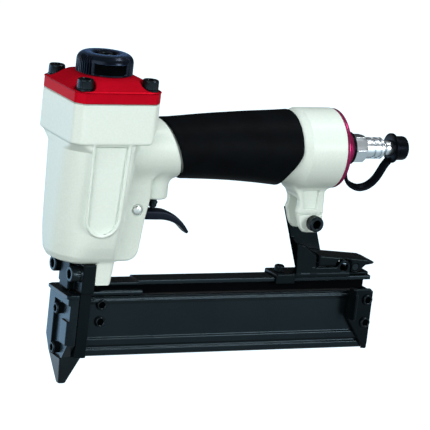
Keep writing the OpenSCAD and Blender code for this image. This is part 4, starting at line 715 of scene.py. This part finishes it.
# Each row of the section: its share of the length, and how far it is moved along the handle and outwards
front_rows = [(0.0, 1.0 - np.cos(b), np.sin(b) - 1.0) for b in edge_turn]
outer_rows = [(t, 0.0, 0.0) for t in np.linspace(0.03, 0.97, 48)]
rear_rows = [(1.0, np.cos(b) - 1.0, np.sin(b) - 1.0) for b in edge_turn[::-1]]
inner_rows = [(1.0, -1.2, -3.0), (0.5, 0, -2.4), (0.0, 1.2, -2.2)]
rows = np.array(front_rows + outer_rows + rear_rows + inner_rows)
lift = np.sin(around)
down = np.clip((sweep_from - lift) / sweep_over, 0, 1)
front_edge = grip_front - np.tan(rim_lean) * grip_front_r * lift
rear_edge = grip_rear - grip_sweep * down * down * (3 - 2 * down)
grip_along = front_edge + (rear_edge - front_edge) * rows[:, :1] + rows[:, 1:2]
grip_out = np.interp(grip_along, grip_x, grip_r) + rows[:, 2:3]
bow = np.sin(np.pi * np.clip((grip_along - bow_start) / bow_length, 0, 1)) * grip_bow
grip_grid = np.stack([grip_along, grip_out * np.cos(around), handle_z + bow + grip_out * lift], axis=-1)
# Moulded rubber: a flat, even black with hardly any gloss.
grip_rubber = coated("moulded_nitrile_rubber", "#07090B", "#0A0D10", 12, 0.7, 0.02, 0.5, 0.06,
                     Specular_IOR_Level=0.02)
grip = closed_piece("grip", [grip_grid], grip_rubber, wrap_rows=True, smooth_angle=60)
fasten(grip, "gun_body", "grip_sleeve")


# End cap: a turned aluminium plug under crimson lacquer, screwed into the handle, with a flat ring against
# its end and a coned nose round the air plug.
handle_line, to_rear = (0, 0, handle_z), (1, 0, 0)
end_profile = [(0, 143.4), (20.9, 143.4), (21.4, 144.1), (21.4, 145.7), (21.2, 146.1), (20.7, 146.3),
               (14.4, 146.3), (13.6, 146.5), (12.6, 147.2), (11.2, 148.4), (10.4, 149.4), (9.9, 151.2),
               (9.8, 153.4), (9.6, 154.4), (9.2, 154.9), (0, 154.9)]
# Thin lacquer on turned metal: crimson, pinker and brighter where it turns to the light.
cap_red = coated("crimson_lacquer", "#8E2854", "#82244C", 8, 1.2, 0.003, 0.26, 0.04,
                 Metallic=0.45, Specular_IOR_Level=0.03, Specular_Tint=linear("#A04068"))
end_cap = closed_piece("end_cap_turned", [turned(end_profile, 144, handle_line, to_rear)], cap_red)
fasten(end_cap, "gun_body", "end_cap")


# Air plug: a quick-connect nipple turned from hexagon steel bar and chromed, with a hexagon, a grooved
# collar, a waist and a round nose, screwed into the end cap.
hex_half, hex_round, hex_limit = 7.0, 8.1, 8.0
plug_profile = [(0, 157.0), (6.9, 157.0), (7.2, 157.1), (hex_round, 157.9), (hex_round, 163.7), (7.2, 164.5),
                (5.6, 164.5), (5.85, 164.9), (5.85, 168.9), (5.15, 169.2), (5.15, 170.2), (5.85, 170.5),
                (5.85, 172.7), (5.15, 173.0), (5.15, 174.0), (5.85, 174.3), (5.85, 175.5), (5.5, 176.0),
                (3.4, 176.3), (3.4, 177.8), (4.0, 178.1), (4.2, 178.5), (4.2, 187.7), (3.4, 188.7),
                (2.6, 188.7), (2.6, 180), (0, 180)]
# Chrome plate: a bright cool mirror, a little spread by the turned surface under it.
chrome = coated("bright_chrome_plate", "#D6DEE3", "#CCD5DA", 10, 1.0, 0.0003, 0.3, 0.02, Metallic=1.0)


def plug_shape(radius, height, angle):
    """The hexagon's flats cut into the widest part."""
    flats = hex_half / np.cos((angle + np.pi / 6) % (np.pi / 3) - np.pi / 6)
    chamfer = np.minimum(radius, np.where(radius > hex_half, flats, np.inf))
    return np.where(np.abs(radius - hex_round) < 1e-6, np.minimum(flats, hex_limit), chamfer)


air_plug = closed_piece("air_plug_turned", [turned(plug_profile, 120, handle_line, to_rear, plug_shape)],
                        chrome, smooth_angle=25)
fasten(air_plug, "gun_body", "air_plug")


# Dust cap: a cup of soft black rubber, moulded with a flange to pull it by. It is pushed over the air plug's
# nose and holds there by its own grip.
dust_profile = [(0, 190.2), (4.2, 190.2), (4.3, 182.2), (7.6, 182.2), (8.1, 182.6), (8.1, 183.6),
                (7.7, 184.0), (6.9, 184.1), (6.55, 184.5), (6.55, 189.6), (6.3, 190.6), (5.6, 191.1),
                (4.6, 191.3), (0, 191.3)]
# Soft rubber: black, with a faint blue gloss where it bends.
soft_rubber = coated("soft_moulded_rubber", "#05080A", "#080B0D", 6, 0.6, 0.01, 0.36, 0.06,
                     Specular_IOR_Level=0.06, Specular_Tint=linear("#9FB6E6"))
dust = closed_piece("dust_cap_moulded", [turned(dust_profile, 96, handle_line, to_rear)], soft_rubber)
fasten(dust, "inlet_cap", "dust_cap")


# Tether: a flat band of the same rubber, moulded in one with the ring that sits behind the plug's hexagon.
# It hangs in a loop to the dust cap, and twists on its way so that its flat face turns to the side.
route = np.array([(156.2, 119.4), (156.0, 115.0), (156.5, 111.2), (158.0, 108.0), (161.0, 105.8),
                  (165.2, 104.6), (169.6, 105.3), (173.1, 107.3), (175.9, 110.2), (178.0, 113.6),
                  (179.8, 116.8), (182.4, 120.2)])
band_thick, band_wide, band_square = 1.0, 2.3, 0.7
# The band's twist in degrees at given shares of its length
band_twist = [0, 0.25, 0.75, 1], [12, 24, 68, 76]
ring_profile = [(6.8, 154.95), (8.4, 154.95), (8.85, 155.3), (8.85, 156.7), (8.4, 157.05), (6.8, 157.05),
                (6.8, 154.95)]
line = through(route, 90)
heading = np.gradient(line, axis=0)
heading /= np.linalg.norm(heading, axis=1, keepdims=True)
turn = np.linspace(0, 2 * np.pi, 24, endpoint=False)
twist = np.radians(np.interp(np.linspace(0, 1, len(line)), *band_twist))[:, None]
flat = band_thick * np.sign(np.cos(turn)) * np.abs(np.cos(turn)) ** band_square
broad = band_wide * np.sign(np.sin(turn)) * np.abs(np.sin(turn)) ** band_square
out = flat * np.cos(twist) + broad * np.sin(twist)
sideways = broad * np.cos(twist) - flat * np.sin(twist)
strap_grid = np.stack([line[:, :1] - heading[:, 1:] * out, sideways, line[:, 1:] + heading[:, :1] * out],
                      axis=-1)
strap_ring = turned(ring_profile, 96, handle_line, to_rear)
tether = closed_piece("cap_tether", [end_closed(strap_grid), strap_ring], soft_rubber)
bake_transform(tether)
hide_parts("cap_strap")


# Nose plate: milled steel, blacked, with a flat plate behind the front block and a cross lug that two cap
# screws hold against the barrel's foot. The driver runs down through it.
steel_step = 0.4
sheet_low, sheet_high = (0.56, -12.7, 17.0), (7.0, 12.7, 52.5)
lug_low, lug_high = (-0.3, -15, 52.0), (7.0, 15, 68.0)
stub_low, stub_high = (-4.0, -5.5, 52.0), (1.0, 5.5, 68.0)
passage_x, passage_y = 0.8, 1.3
lug_screw_y, lug_screw_z = 10.8, 62.2
# Phosphated steel: a soft blue-black that shows pale only along its edges.
black_steel = coated("phosphated_black_steel", "#060A0B", "#090D0F", 7, 0.6, 0.001, 0.28, 0.03,
                     Specular_IOR_Level=0.09, Specular_Tint=linear("#C4EBFF"))


def bar(x, y, z, low, high, edge):
    """Distance to a block between two corners, its edges rounded."""
    sides = [np.maximum(a - v, v - b) for v, a, b in zip((x, y, z), low, high)]
    return blend_meet(blend_meet(sides[0], sides[1], edge), sides[2], edge)


def less_passage(solid, x, y):
    """A field less the straight passage that the driver's blade runs in."""
    return np.maximum(solid, -np.maximum(np.abs(x) - passage_x, np.abs(y) - passage_y))


def nose_plate_field(x, y, z):
    """A flat plate behind the front block, a cross lug under the barrel and the stub that stands before it,
    less the driver's passage."""
    solid = blend_union(bar(x, y, z, sheet_low, sheet_high, 0.7), bar(x, y, z, lug_low, lug_high, 0.9), 0.6)
    return less_passage(blend_union(solid, bar(x, y, z, stub_low, stub_high, 0.8), 0.5), x, y)


nose_plate = skinned("nose_plate_made", nose_plate_field, (-4.6, -15.6, 16.4), (7.6, 15.6, 68.6), steel_step,
                     black_steel)
fasten(nose_plate, "gun_body", "nose_plate")
lug_places = [(lug_low[0], -lug_screw_y, lug_screw_z), (lug_low[0], lug_screw_y, lug_screw_z)]
screws("lug_screws", "gun_body", lug_places, to_front, *m5_screw, m5_washer)


# Nose front: a block of hardened steel, ground and blacked, that narrows in two stages to the tip. A slot in
# its face takes the guide strip, and its near edge is notched beside the strip's screws.
front_z, front_x = [0, 16.6], [-1.9, -5.5]
taper_z, taper_half = [0, 16.6, 24, 60], [1.8, 8.0, 12.7, 12.7]
back_z, back_x = [0, 16.5, 16.7, 60], [1.9, 7.0, 0.5, 0.5]
rim_low, rim_high = (-6.7, -12.7, 48.7), (0.4, 12.7, 51.3)
groove_x, groove_half, groove_z, groove_length = -2.7, 4.8, 30.4, 29.8
strip_screw_z = (19.8, 41.0)
notch_x, notch_half = -4.3, 4.2
# Ground and blacked steel: brighter than the plate, a cool grey where a face meets the light.
bright_black = coated("ground_and_blacked_steel", "#0A1013", "#0F1619", 7, 0.6, 0.001, 0.28, 0.03,
                      Specular_IOR_Level=0.4, Specular_Tint=linear("#7C9AA6"))


def nose_front_field(x, y, z):
    """A block with a top rim that narrows to the tip, a slot for the guide strip, two notches in the near
    edge beside its screws, and the driver's passage."""
    half = np.interp(z, taper_z, taper_half)
    front, rear = np.interp(z, front_z, front_x), np.interp(z, back_z, back_x)
    solid = blend_meet((np.abs(y) - half) * 0.9, np.maximum(front - x, x - rear), 1.0)
    solid = blend_union(solid, bar(x, y, z, rim_low, rim_high, 0.9), 0.3)
    solid = blend_meet(solid, np.maximum(z - rim_high[2], -z), 0.8)
    groove = np.maximum(x - groove_x, np.abs(y) - groove_half)
    solid = blend_cut(solid, np.maximum(groove, np.abs(z - groove_z) - groove_length / 2), 0.4)
    for notch_z in strip_screw_z:
        notch = np.maximum(np.maximum(x - notch_x, y), np.abs(z - notch_z) - notch_half)
        solid = blend_cut(solid, notch, 0.4)
    return less_passage(solid, x, y)


nose_front = skinned("nose_front_made", nose_front_field, (-7.3, -13.3, -0.6), (7.6, 13.3, 51.9), steel_step,
                     bright_black)
fasten(nose_front, "gun_body", "nose_front")


# Guide strip: a narrow ground steel bar in the slot of the nose front, held by two small cap screws. It keeps
# the form of its solid, with the edges broken as deburring leaves them.
strip_edge, strip_seat, strip_screw = 0.15, -3.7, (6.0, 3.6, 3.0)
strip_mesh = frame["nodes"]["guide_strip"].data.copy()
strip_mesh.name = "guide_strip_made"
work = bmesh.new()
work.from_mesh(strip_mesh)
bmesh.ops.remove_doubles(work, verts=work.verts, dist=1e-6)
bmesh.ops.dissolve_limit(work, angle_limit=np.radians(1), verts=work.verts, edges=work.edges)
work.to_mesh(strip_mesh)
work.free()
strip_mesh.materials.clear()
strip_mesh.materials.append(bright_black)
strip_mesh.shade_smooth()
guide_strip = bpy.data.objects.new("guide_strip_made", strip_mesh)
scene.collection.objects.link(guide_strip)
bevel = guide_strip.modifiers.new("broken_edges", "BEVEL")
bevel.width = strip_edge / 1000
bevel.segments = 2
bevel.limit_method = "ANGLE"
bevel.angle_limit = np.radians(30)
even = guide_strip.modifiers.new("even_normals", "WEIGHTED_NORMAL")
even.weight = 100
fasten(guide_strip, "gun_body", "guide_strip")
screws("strip_screws", "gun_body", [(strip_seat, 0, z) for z in strip_screw_z], to_front, *strip_screw)


# Magazine rail: a black anodised aluminium extrusion, fixed to the nose and the bracket. It has a flat head, a
# short wide ledge at the front, a narrow neck in painted shade, and a core that is the far wall of the pins'
# channel.
# Each form's sides, bottom and top, the radius of its corners, and where it starts and ends
head_bar = -5.7, 5.7, 54.1, 56.5, 0.6, 36.5, 176.8
head_front = -5.7, 5.7, 54.0, 55.6, 0.5, 7.0, 37.0
ledge_bar = -9, 9, 49.3, 52.2, 1.3, 7.05, 37.5
core_bar = 0.7, 6.2, 18.6, 49.2, 0.3, 7.2, 174.2
neck_bar = -3.2, 3.2, 48.9, 54.4, 0.3, 7.1, 174.0
# Anodised extrusion: blue-black, its grain drawn along the length so that light runs out in streaks.
anodised = coated("black_anodised_extrusion", "#0A0F11", "#0E1416", 30, 0.5, 0.00004, 0.26, 0.004,
                  (0.03, 1, 1), Specular_IOR_Level=0.2, Specular_Tint=linear("#C4EBFF"))
# The neck's finish is painted shade: darker and without gloss, so the gap under the rail's head reads dark.
painted_shade_anodised = coated("black_anodised_painted_shade", "#050709", "#07090B", 30, 0.5, 0.002, 0.6, 0.05,
              Specular_IOR_Level=0.0)


def rounded(outline, radius, count=5):
    """A closed outline with each corner drawn as a curve: it leaves one side and joins the next at most a
    radius away from the corner, P(t) = (1-t)^2 A + 2t(1-t) corner + t^2 B."""
    before, after = np.roll(outline, 1, axis=0) - outline, np.roll(outline, -1, axis=0) - outline
    back_length, fore_length = (np.linalg.norm(v, axis=1, keepdims=True) for v in (before, after))
    first = outline + before / back_length * np.minimum(radius, 0.45 * back_length)
    last = outline + after / fore_length * np.minimum(radius, 0.45 * fore_length)
    t = np.linspace(0, 1, count)[None, :, None]
    curve = (1 - t) ** 2 * first[:, None] + 2 * t * (1 - t) * outline[:, None] + t ** 2 * last[:, None]
    return curve.reshape(-1, 2)


def extruded(name, runs, material):
    """Outlines in Y and Z, each carried along X from one place to another and closed at both ends by a flat
    face. Flats are shaded flat and the drawn corners smooth."""
    points, faces, first = [], [], 0
    for outline, start, stop in runs:
        count = len(outline)
        grid = np.stack([np.column_stack([np.full(count, x), outline]) for x in (start, stop)])
        points.append(grid.reshape(-1, 3))
        faces += (tube_surface(grid, False, True) + first).tolist()
        near_end, far_end = range(first, first + count), range(first + count, first + 2 * count)
        faces += [list(near_end), list(reversed(far_end))]
        first += 2 * count
    piece = set_mesh(name, np.concatenate(points), faces)
    shaped = bmesh.new()
    shaped.from_mesh(piece.data)
    bmesh.ops.recalc_face_normals(shaped, faces=shaped.faces)
    shaped.to_mesh(piece.data)
    shaped.free()
    piece.data.materials.append(material)
    piece.data.shade_smooth()
    piece.data.set_sharp_from_angle(angle=np.radians(50))
    weighted = piece.modifiers.new("even_normals", "WEIGHTED_NORMAL")
    weighted.weight = 100
    weighted.keep_sharp = True
    return piece


def bar_run(low, high, bottom, top, corner, start, stop):
    """A bar's section in Y and Z with its corners drawn, and the two places along X that it runs between."""
    section = np.array([(low, bottom), (high, bottom), (high, top), (low, top)], float)
    return rounded(section, corner), start, stop


rail_runs = [bar_run(*form) for form in (head_bar, head_front, ledge_bar, core_bar)]
rail = extruded("magazine_rail_extruded", rail_runs, anodised)
fasten(rail, "gun_body", "magazine_rail")
# The neck is painted shade, so that the gap under the rail's head reads dark
neck = extruded("magazine_rail_neck", [bar_run(*neck_bar)], painted_shade_anodised)
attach(neck, "gun_body")


# Rear bracket: one folded and blacked steel sheet on the rail's rear end. Its upright is screwed to the far
# side of the leg, tabs and a screw hold it on the rail, and its ears carry the latch and a hanging hole.
sheet_z, sheet_top = 56.5, 58.5
bracket_upright = [(137.9, 56.5), (125.9, 92.2), (143.1, 92.2), (155.1, 56.5)]
bracket_cheek = [(129.5, 56.5), (128, 74.9), (128.9, 75.7), (133.3, 74.4), (137.2, 71.4), (140.9, 68.7),
                 (141.5, 56.5)]
bracket_wall = [(137.8, 56.5), (138.6, 62), (154.0, 62), (158.6, 63), (162.6, 61.8), (162.6, 56.5)]
wall_in, wall_out = 5.2, 7.2
# Lower and upper corners of the base on the rail, its tail, its side tabs and the upright's foot
base_bar = (117.6, -wall_out, sheet_z), (162.6, wall_out, sheet_top)
tail_bar = (156, -4.5, sheet_z), (176.0, 4.5, sheet_top)
tab_bar = (117.6, 5.75, 53.1), (129.1, wall_out, 58.0)
foot_bar = (137.9, 2.0, sheet_z), (155.1, 9.5, sheet_top)
upright_in, upright_out = 7.6, 9.5
web_low, web_top, web_sheet, web_span, web_far = 56.6, 74.9, 2.0, 14.75, 9.0
cheek_front, cheek_lean, upright_front, upright_lean = 129.5, 1.5, 137.9, 6.2
ear_z, hang_x, hang_ear, hang_r = 61.8, 158.6, 4.0, 2.2
latch_x, latch_ear, latch_ear_in, latch_ear_out, latch_ear_low, latch_hole = 165.8, 3.1, 3.0, 4.5, 57, 2.0
bracket_screw, bracket_screw_x = (5.5, 3.4, 2.7), 122.6
leg_screw_x, leg_screw_z = 135.5, 87.2


def plate(x, y, z, outline, low, high, edge):
    """Distance to a sheet cut to an outline in X and Z, between two places along Y, its edges rounded."""
    return blend_meet(inside_outline(x, z, outline), np.maximum(low - y, y - high), edge)


def bracket_field(x, y, z):
    """One folded sheet: a base on the rail with tabs over its sides, an upright to the leg's far side, a
    near cheek and the skewed web between them, low side walls with round ears, and two ears for the latch."""
    side = np.abs(y)
    base = np.minimum(bar(x, y, z, *base_bar, 0.7), bar(x, y, z, *tail_bar, 0.8))
    base = np.minimum(base, bar(x, side, z, *tab_bar, 0.6))
    base = np.minimum(base, bar(x, y, z, *foot_bar, 0.6))
    upright_sheet = plate(x, y, z, bracket_upright, upright_in, upright_out, 0.6)
    cheek = plate(x, y, z, bracket_cheek, -wall_out, -wall_in, 1.1)
    # The web's front runs straight from the cheek's front edge to the upright's, at every height
    climbed = (z - sheet_z) / (web_top - sheet_z)
    share = (y + wall_out) / web_span
    near_front, far_front = cheek_front - cheek_lean * climbed, upright_front - upright_lean * climbed
    front = near_front * (1 - share) + far_front * share
    ends = np.maximum(np.maximum(-wall_out - y, y - web_far), z - web_top)
    web = blend_meet(np.maximum(front - x, x - front - web_sheet) * 0.85, ends, 0.6)
    web = np.maximum(web, web_low - z)
    from_hang, from_latch = np.hypot(x - hang_x, z - ear_z), np.hypot(x - latch_x, z - ear_z)
    wall = np.minimum(inside_outline(x, z, bracket_wall), from_hang - hang_ear)
    wall = blend_meet(wall, np.maximum(wall_in - side, side - wall_out), 0.8)
    ears = np.maximum(np.abs(x - latch_x) - latch_ear, np.maximum(latch_ear_low - z, z - ear_z))
    ears = np.minimum(ears, from_latch - latch_ear)
    ears = blend_meet(ears, np.maximum(latch_ear_in - side, side - latch_ear_out), 0.5)
    folded = blend_union(blend_union(base, upright_sheet, 0.8), blend_union(cheek, web, 0.8), 0.8)
    folded = blend_union(folded, np.minimum(wall, ears), 0.6)
    folded = blend_cut(folded, from_hang - hang_r, 0.6)
    return np.maximum(folded, latch_hole - from_latch)


bracket = skinned("rear_bracket_made", bracket_field, (117.0, -7.8, 52.5), (176.6, 10.1, 92.8), steel_step,
                  black_steel)
# Painted shade: the front faces of the cheek, web and upright take the darker, glossless copy of the oxide
refinish(bracket, lambda centres, normals: (normals[:, 0] < -0.55) & (centres[:, 2] > sheet_top), painted_shade_oxide)
fasten(bracket, "gun_body", "rear_bracket")
screws("bracket_screw", "gun_body", [(bracket_screw_x, 0, sheet_top)], to_top, *bracket_screw)
screws("leg_screw", "gun_body", [(leg_screw_x, -leg_half, leg_screw_z)], to_near, *m5_screw)


# Latch lever: a pressed and blacked steel channel with well rounded top edges, that rocks on a pin through
# the bracket's inner ears.
lever_side = [(142.5, 68.8), (173.0, 66.1), (175.8, 65.2), (177.7, 64.2), (176.5, 63.2), (172.3, 62.6),
              (168.35, 59.1), (165.8, 58.1), (163.25, 59.1), (163.1, 64.4), (162.0, 65.5), (158.6, 66.1),
              (155.2, 65.5), (154.0, 64.4), (153.4, 62.3), (142.9, 62.3), (142.5, 67.5)]
lever_half, lever_inner, lever_hole = 7.2, 5.6, 2.2
lever_under = [142.5, 173.5, 177.7], [67.4, 64.6, 63.0]


def lever_field(x, y, z):
    """The side outline across the channel's width, hollow from below, with a hole for its pin."""
    channel = blend_meet(inside_outline(x, z, lever_side), np.abs(y) - lever_half, 1.3)
    hollow = np.maximum(np.abs(y) - lever_inner, z - np.interp(x, *lever_under))
    channel = blend_cut(channel, hollow, 0.5)
    return np.maximum(channel, lever_hole - np.hypot(x - latch_x, z - ear_z))


lever = skinned("latch_lever_made", lever_field, (141.9, -7.8, 57.6), (178.3, 7.8, 69.4), steel_step,
                black_steel)
fasten(lever, "latch", "latch_lever")


# Magazine slide: the lower half of the magazine, a black anodised aluminium channel with ridged sides, drawn
# off to the rear to load pins. Two small screws near its front hold the liner inside.
slide_side = np.array([(8.0, 16.6), (9, 17.6), (9, 20.4), (8.1, 21.0), (8.1, 22.1), (9, 22.7), (9, 26.1),
                       (8.3, 26.8), (8.3, 45.1), (9, 45.8), (9, 47.0), (8.3, 47.5), (8.3, 48.2), (8.8, 49.0)])
slide_pocket = np.array([(6.6, 49.0), (6.6, 18.2), (-6.6, 18.2), (-6.6, 49.0)])
slide_corner, slide_start, slide_end = 0.5, 7.3, 174.6
liner_screw, liner_places = (5.8, 1.7, 3.2), [(14.9, -8.2, 35.5), (14.9, -8.2, 44.6)]
slide_outline = np.concatenate([(slide_side * [-1, 1])[::-1], slide_side, slide_pocket])
slide = extruded("magazine_slide_extruded", [(rounded(slide_outline, slide_corner), slide_start, slide_end)],
                 anodised)
fasten(slide, "slide", "magazine_slide")
screws("liner_screws", "slide", liner_places, to_near, *liner_screw)


# Slide end plate: folded and blacked steel, with a wall that closes the slide's rear, a slanted side sheet
# held by two small screws, and a finger tab folded out from its front edge to draw the slide by.
end_side = [(176.6, 48.9), (175.1, 50.4), (162.4, 50.4), (162.4, 34), (173.6, 17.8), (173.6, 16.6),
            (176.0, 16.6), (176.6, 20.4)]
end_near, end_sheet = -11.0, -9.05
end_wall = (174.7, end_near, 16.6), (176.6, 9.0, 49.0)
end_screw, end_places = (6.0, 1.7, 3.2), [(173.3, -10.8, 31.6), (173.3, -10.8, 44.4)]
tab_x, tab_back, tab_tip, tab_root = 162.4, 164.0, -17.5, -9.3
tab_low, tab_high = 34, 50.4


def end_plate_field(x, y, z):
    """A side sheet, the rear wall folded from it and the finger tab folded out at its front edge."""
    side = plate(x, y, z, end_side, end_near, end_sheet, 0.8)
    rear = bar(x, y, z, *end_wall, 0.7)
    corner = blend_meet(np.maximum(tab_tip - y, y - tab_root), np.maximum(tab_low - z, z - tab_high), 2.4)
    tab = blend_meet(corner, np.maximum(tab_x - x, x - tab_back), 0.8)
    return blend_union(blend_union(side, rear, 0.5), tab, 0.8)


end_plate = skinned("slide_end_plate_made", end_plate_field, (161.8, -18.1, 16.0), (177.2, 9.6, 51.0),
                    steel_step, black_steel)
fasten(end_plate, "slide", "slide_end_plate")
screws("end_plate_screws", "slide", end_places, to_near, *end_screw)


# Springs: wound from drawn steel wire, for the pusher, the head valve and the trigger valve.
# Each one's body, joint, moving and fixed end, radius, wire's radius, turns, and the share that it keeps
springs = {
    "pusher_spring": ("slide", "pusher_travel", (25.3, -2.55, 34.2), (166.6, -2.55, 34.2),
                      1.55, 0.2, 36, 0.112),
    "head_valve_spring": ("gun_body", "head_valve_lift", (0, 0, 152.2), (0, 0, 161.0), 6.6, 0.5, 4, 0.6),
    "valve_spring": ("gun_body", "stem_lift", (valve_x, 0, 111.0), (valve_x, 0, 118.0), 2.9, 0.35, 5, 0.74),
}


def coil(node, body, joint, start, stop, radius, wire, turns, keep):
    """A wire wound between two ends: P(t, a) = start + (stop - start) t + (radius + wire cos a) across the
    axis at the angle 2 pi turns t + wire sin a along it."""
    first, last = np.array(start, float), np.array(stop, float)
    along = (last - first) / np.linalg.norm(last - first)
    across = np.cross(along, [0, 1, 0])
    t = np.linspace(0, 1, int(turns * 20))[:, None]
    spin, ring = 2 * np.pi * turns * t, np.linspace(0, 2 * np.pi, 8, endpoint=False)[None]
    outward = np.cos(spin)[..., None] * across + np.sin(spin)[..., None] * np.cross(along, across)
    grid = (first + wire * along + (last - first - 2 * wire * along) * t[..., None]
            + (radius + wire * np.cos(ring))[..., None] * outward + (wire * np.sin(ring))[..., None] * along)
    piece = closed_piece(node + "_wound", [end_closed(grid)], ground_steel, smooth_angle=80)
    fasten(piece, body, node)
    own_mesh(piece)


for spring, sizes in springs.items():
    coil(spring, *sizes)


# Inner pieces and small parts that keep their solids: only their finish is set here, by material slot. Turned
# metals are soft mirrors, the fibre gasket is matt, the acetal waxy, and the urethane an amber rubber.
inner_finish = {
    "aluminium": coated("turned_aluminium", "#C3C7C9", "#B8BDC0", 6, 0.5, 0.004, 0.34, 0.06, Metallic=1.0),
    "steel": ground_steel,
    "brass": coated("turned_brass", "#B08A3E", "#A47F38", 5, 0.5, 0.004, 0.32, 0.06, Metallic=1.0),
    "rubber": soft_rubber, "chrome": chrome, "black_oxide": oxide, "black_steel": black_steel,
    "black_anodised": anodised, "grip_rubber": grip_rubber, "trigger_plastic": trigger_nylon,
    "black_plastic": deflector, "body_paint": body_paint, "red_paint": head_paint, "end_paint": cap_red,
    "gasket": coated("pressed_fibre_gasket", "#A9AFAB", "#9CA29E", 3, 0.5, 0.02, 0.8, 0.08),
    "bumper_rubber": coated("cast_urethane", "#7A5A24", "#6E5020", 5, 0.8, 0.01, 0.4, 0.05),
    "valve_plastic": coated("machined_acetal", "#D8D2BE", "#CEC8B4", 5, 0.6, 0.006, 0.36, 0.05),
}
for row in frame["record"]["subparts"]:
    solid = frame["nodes"][row["node"]]
    solid.data.materials.clear()
    solid.data.materials.append(inner_finish[row["material_slot"]])
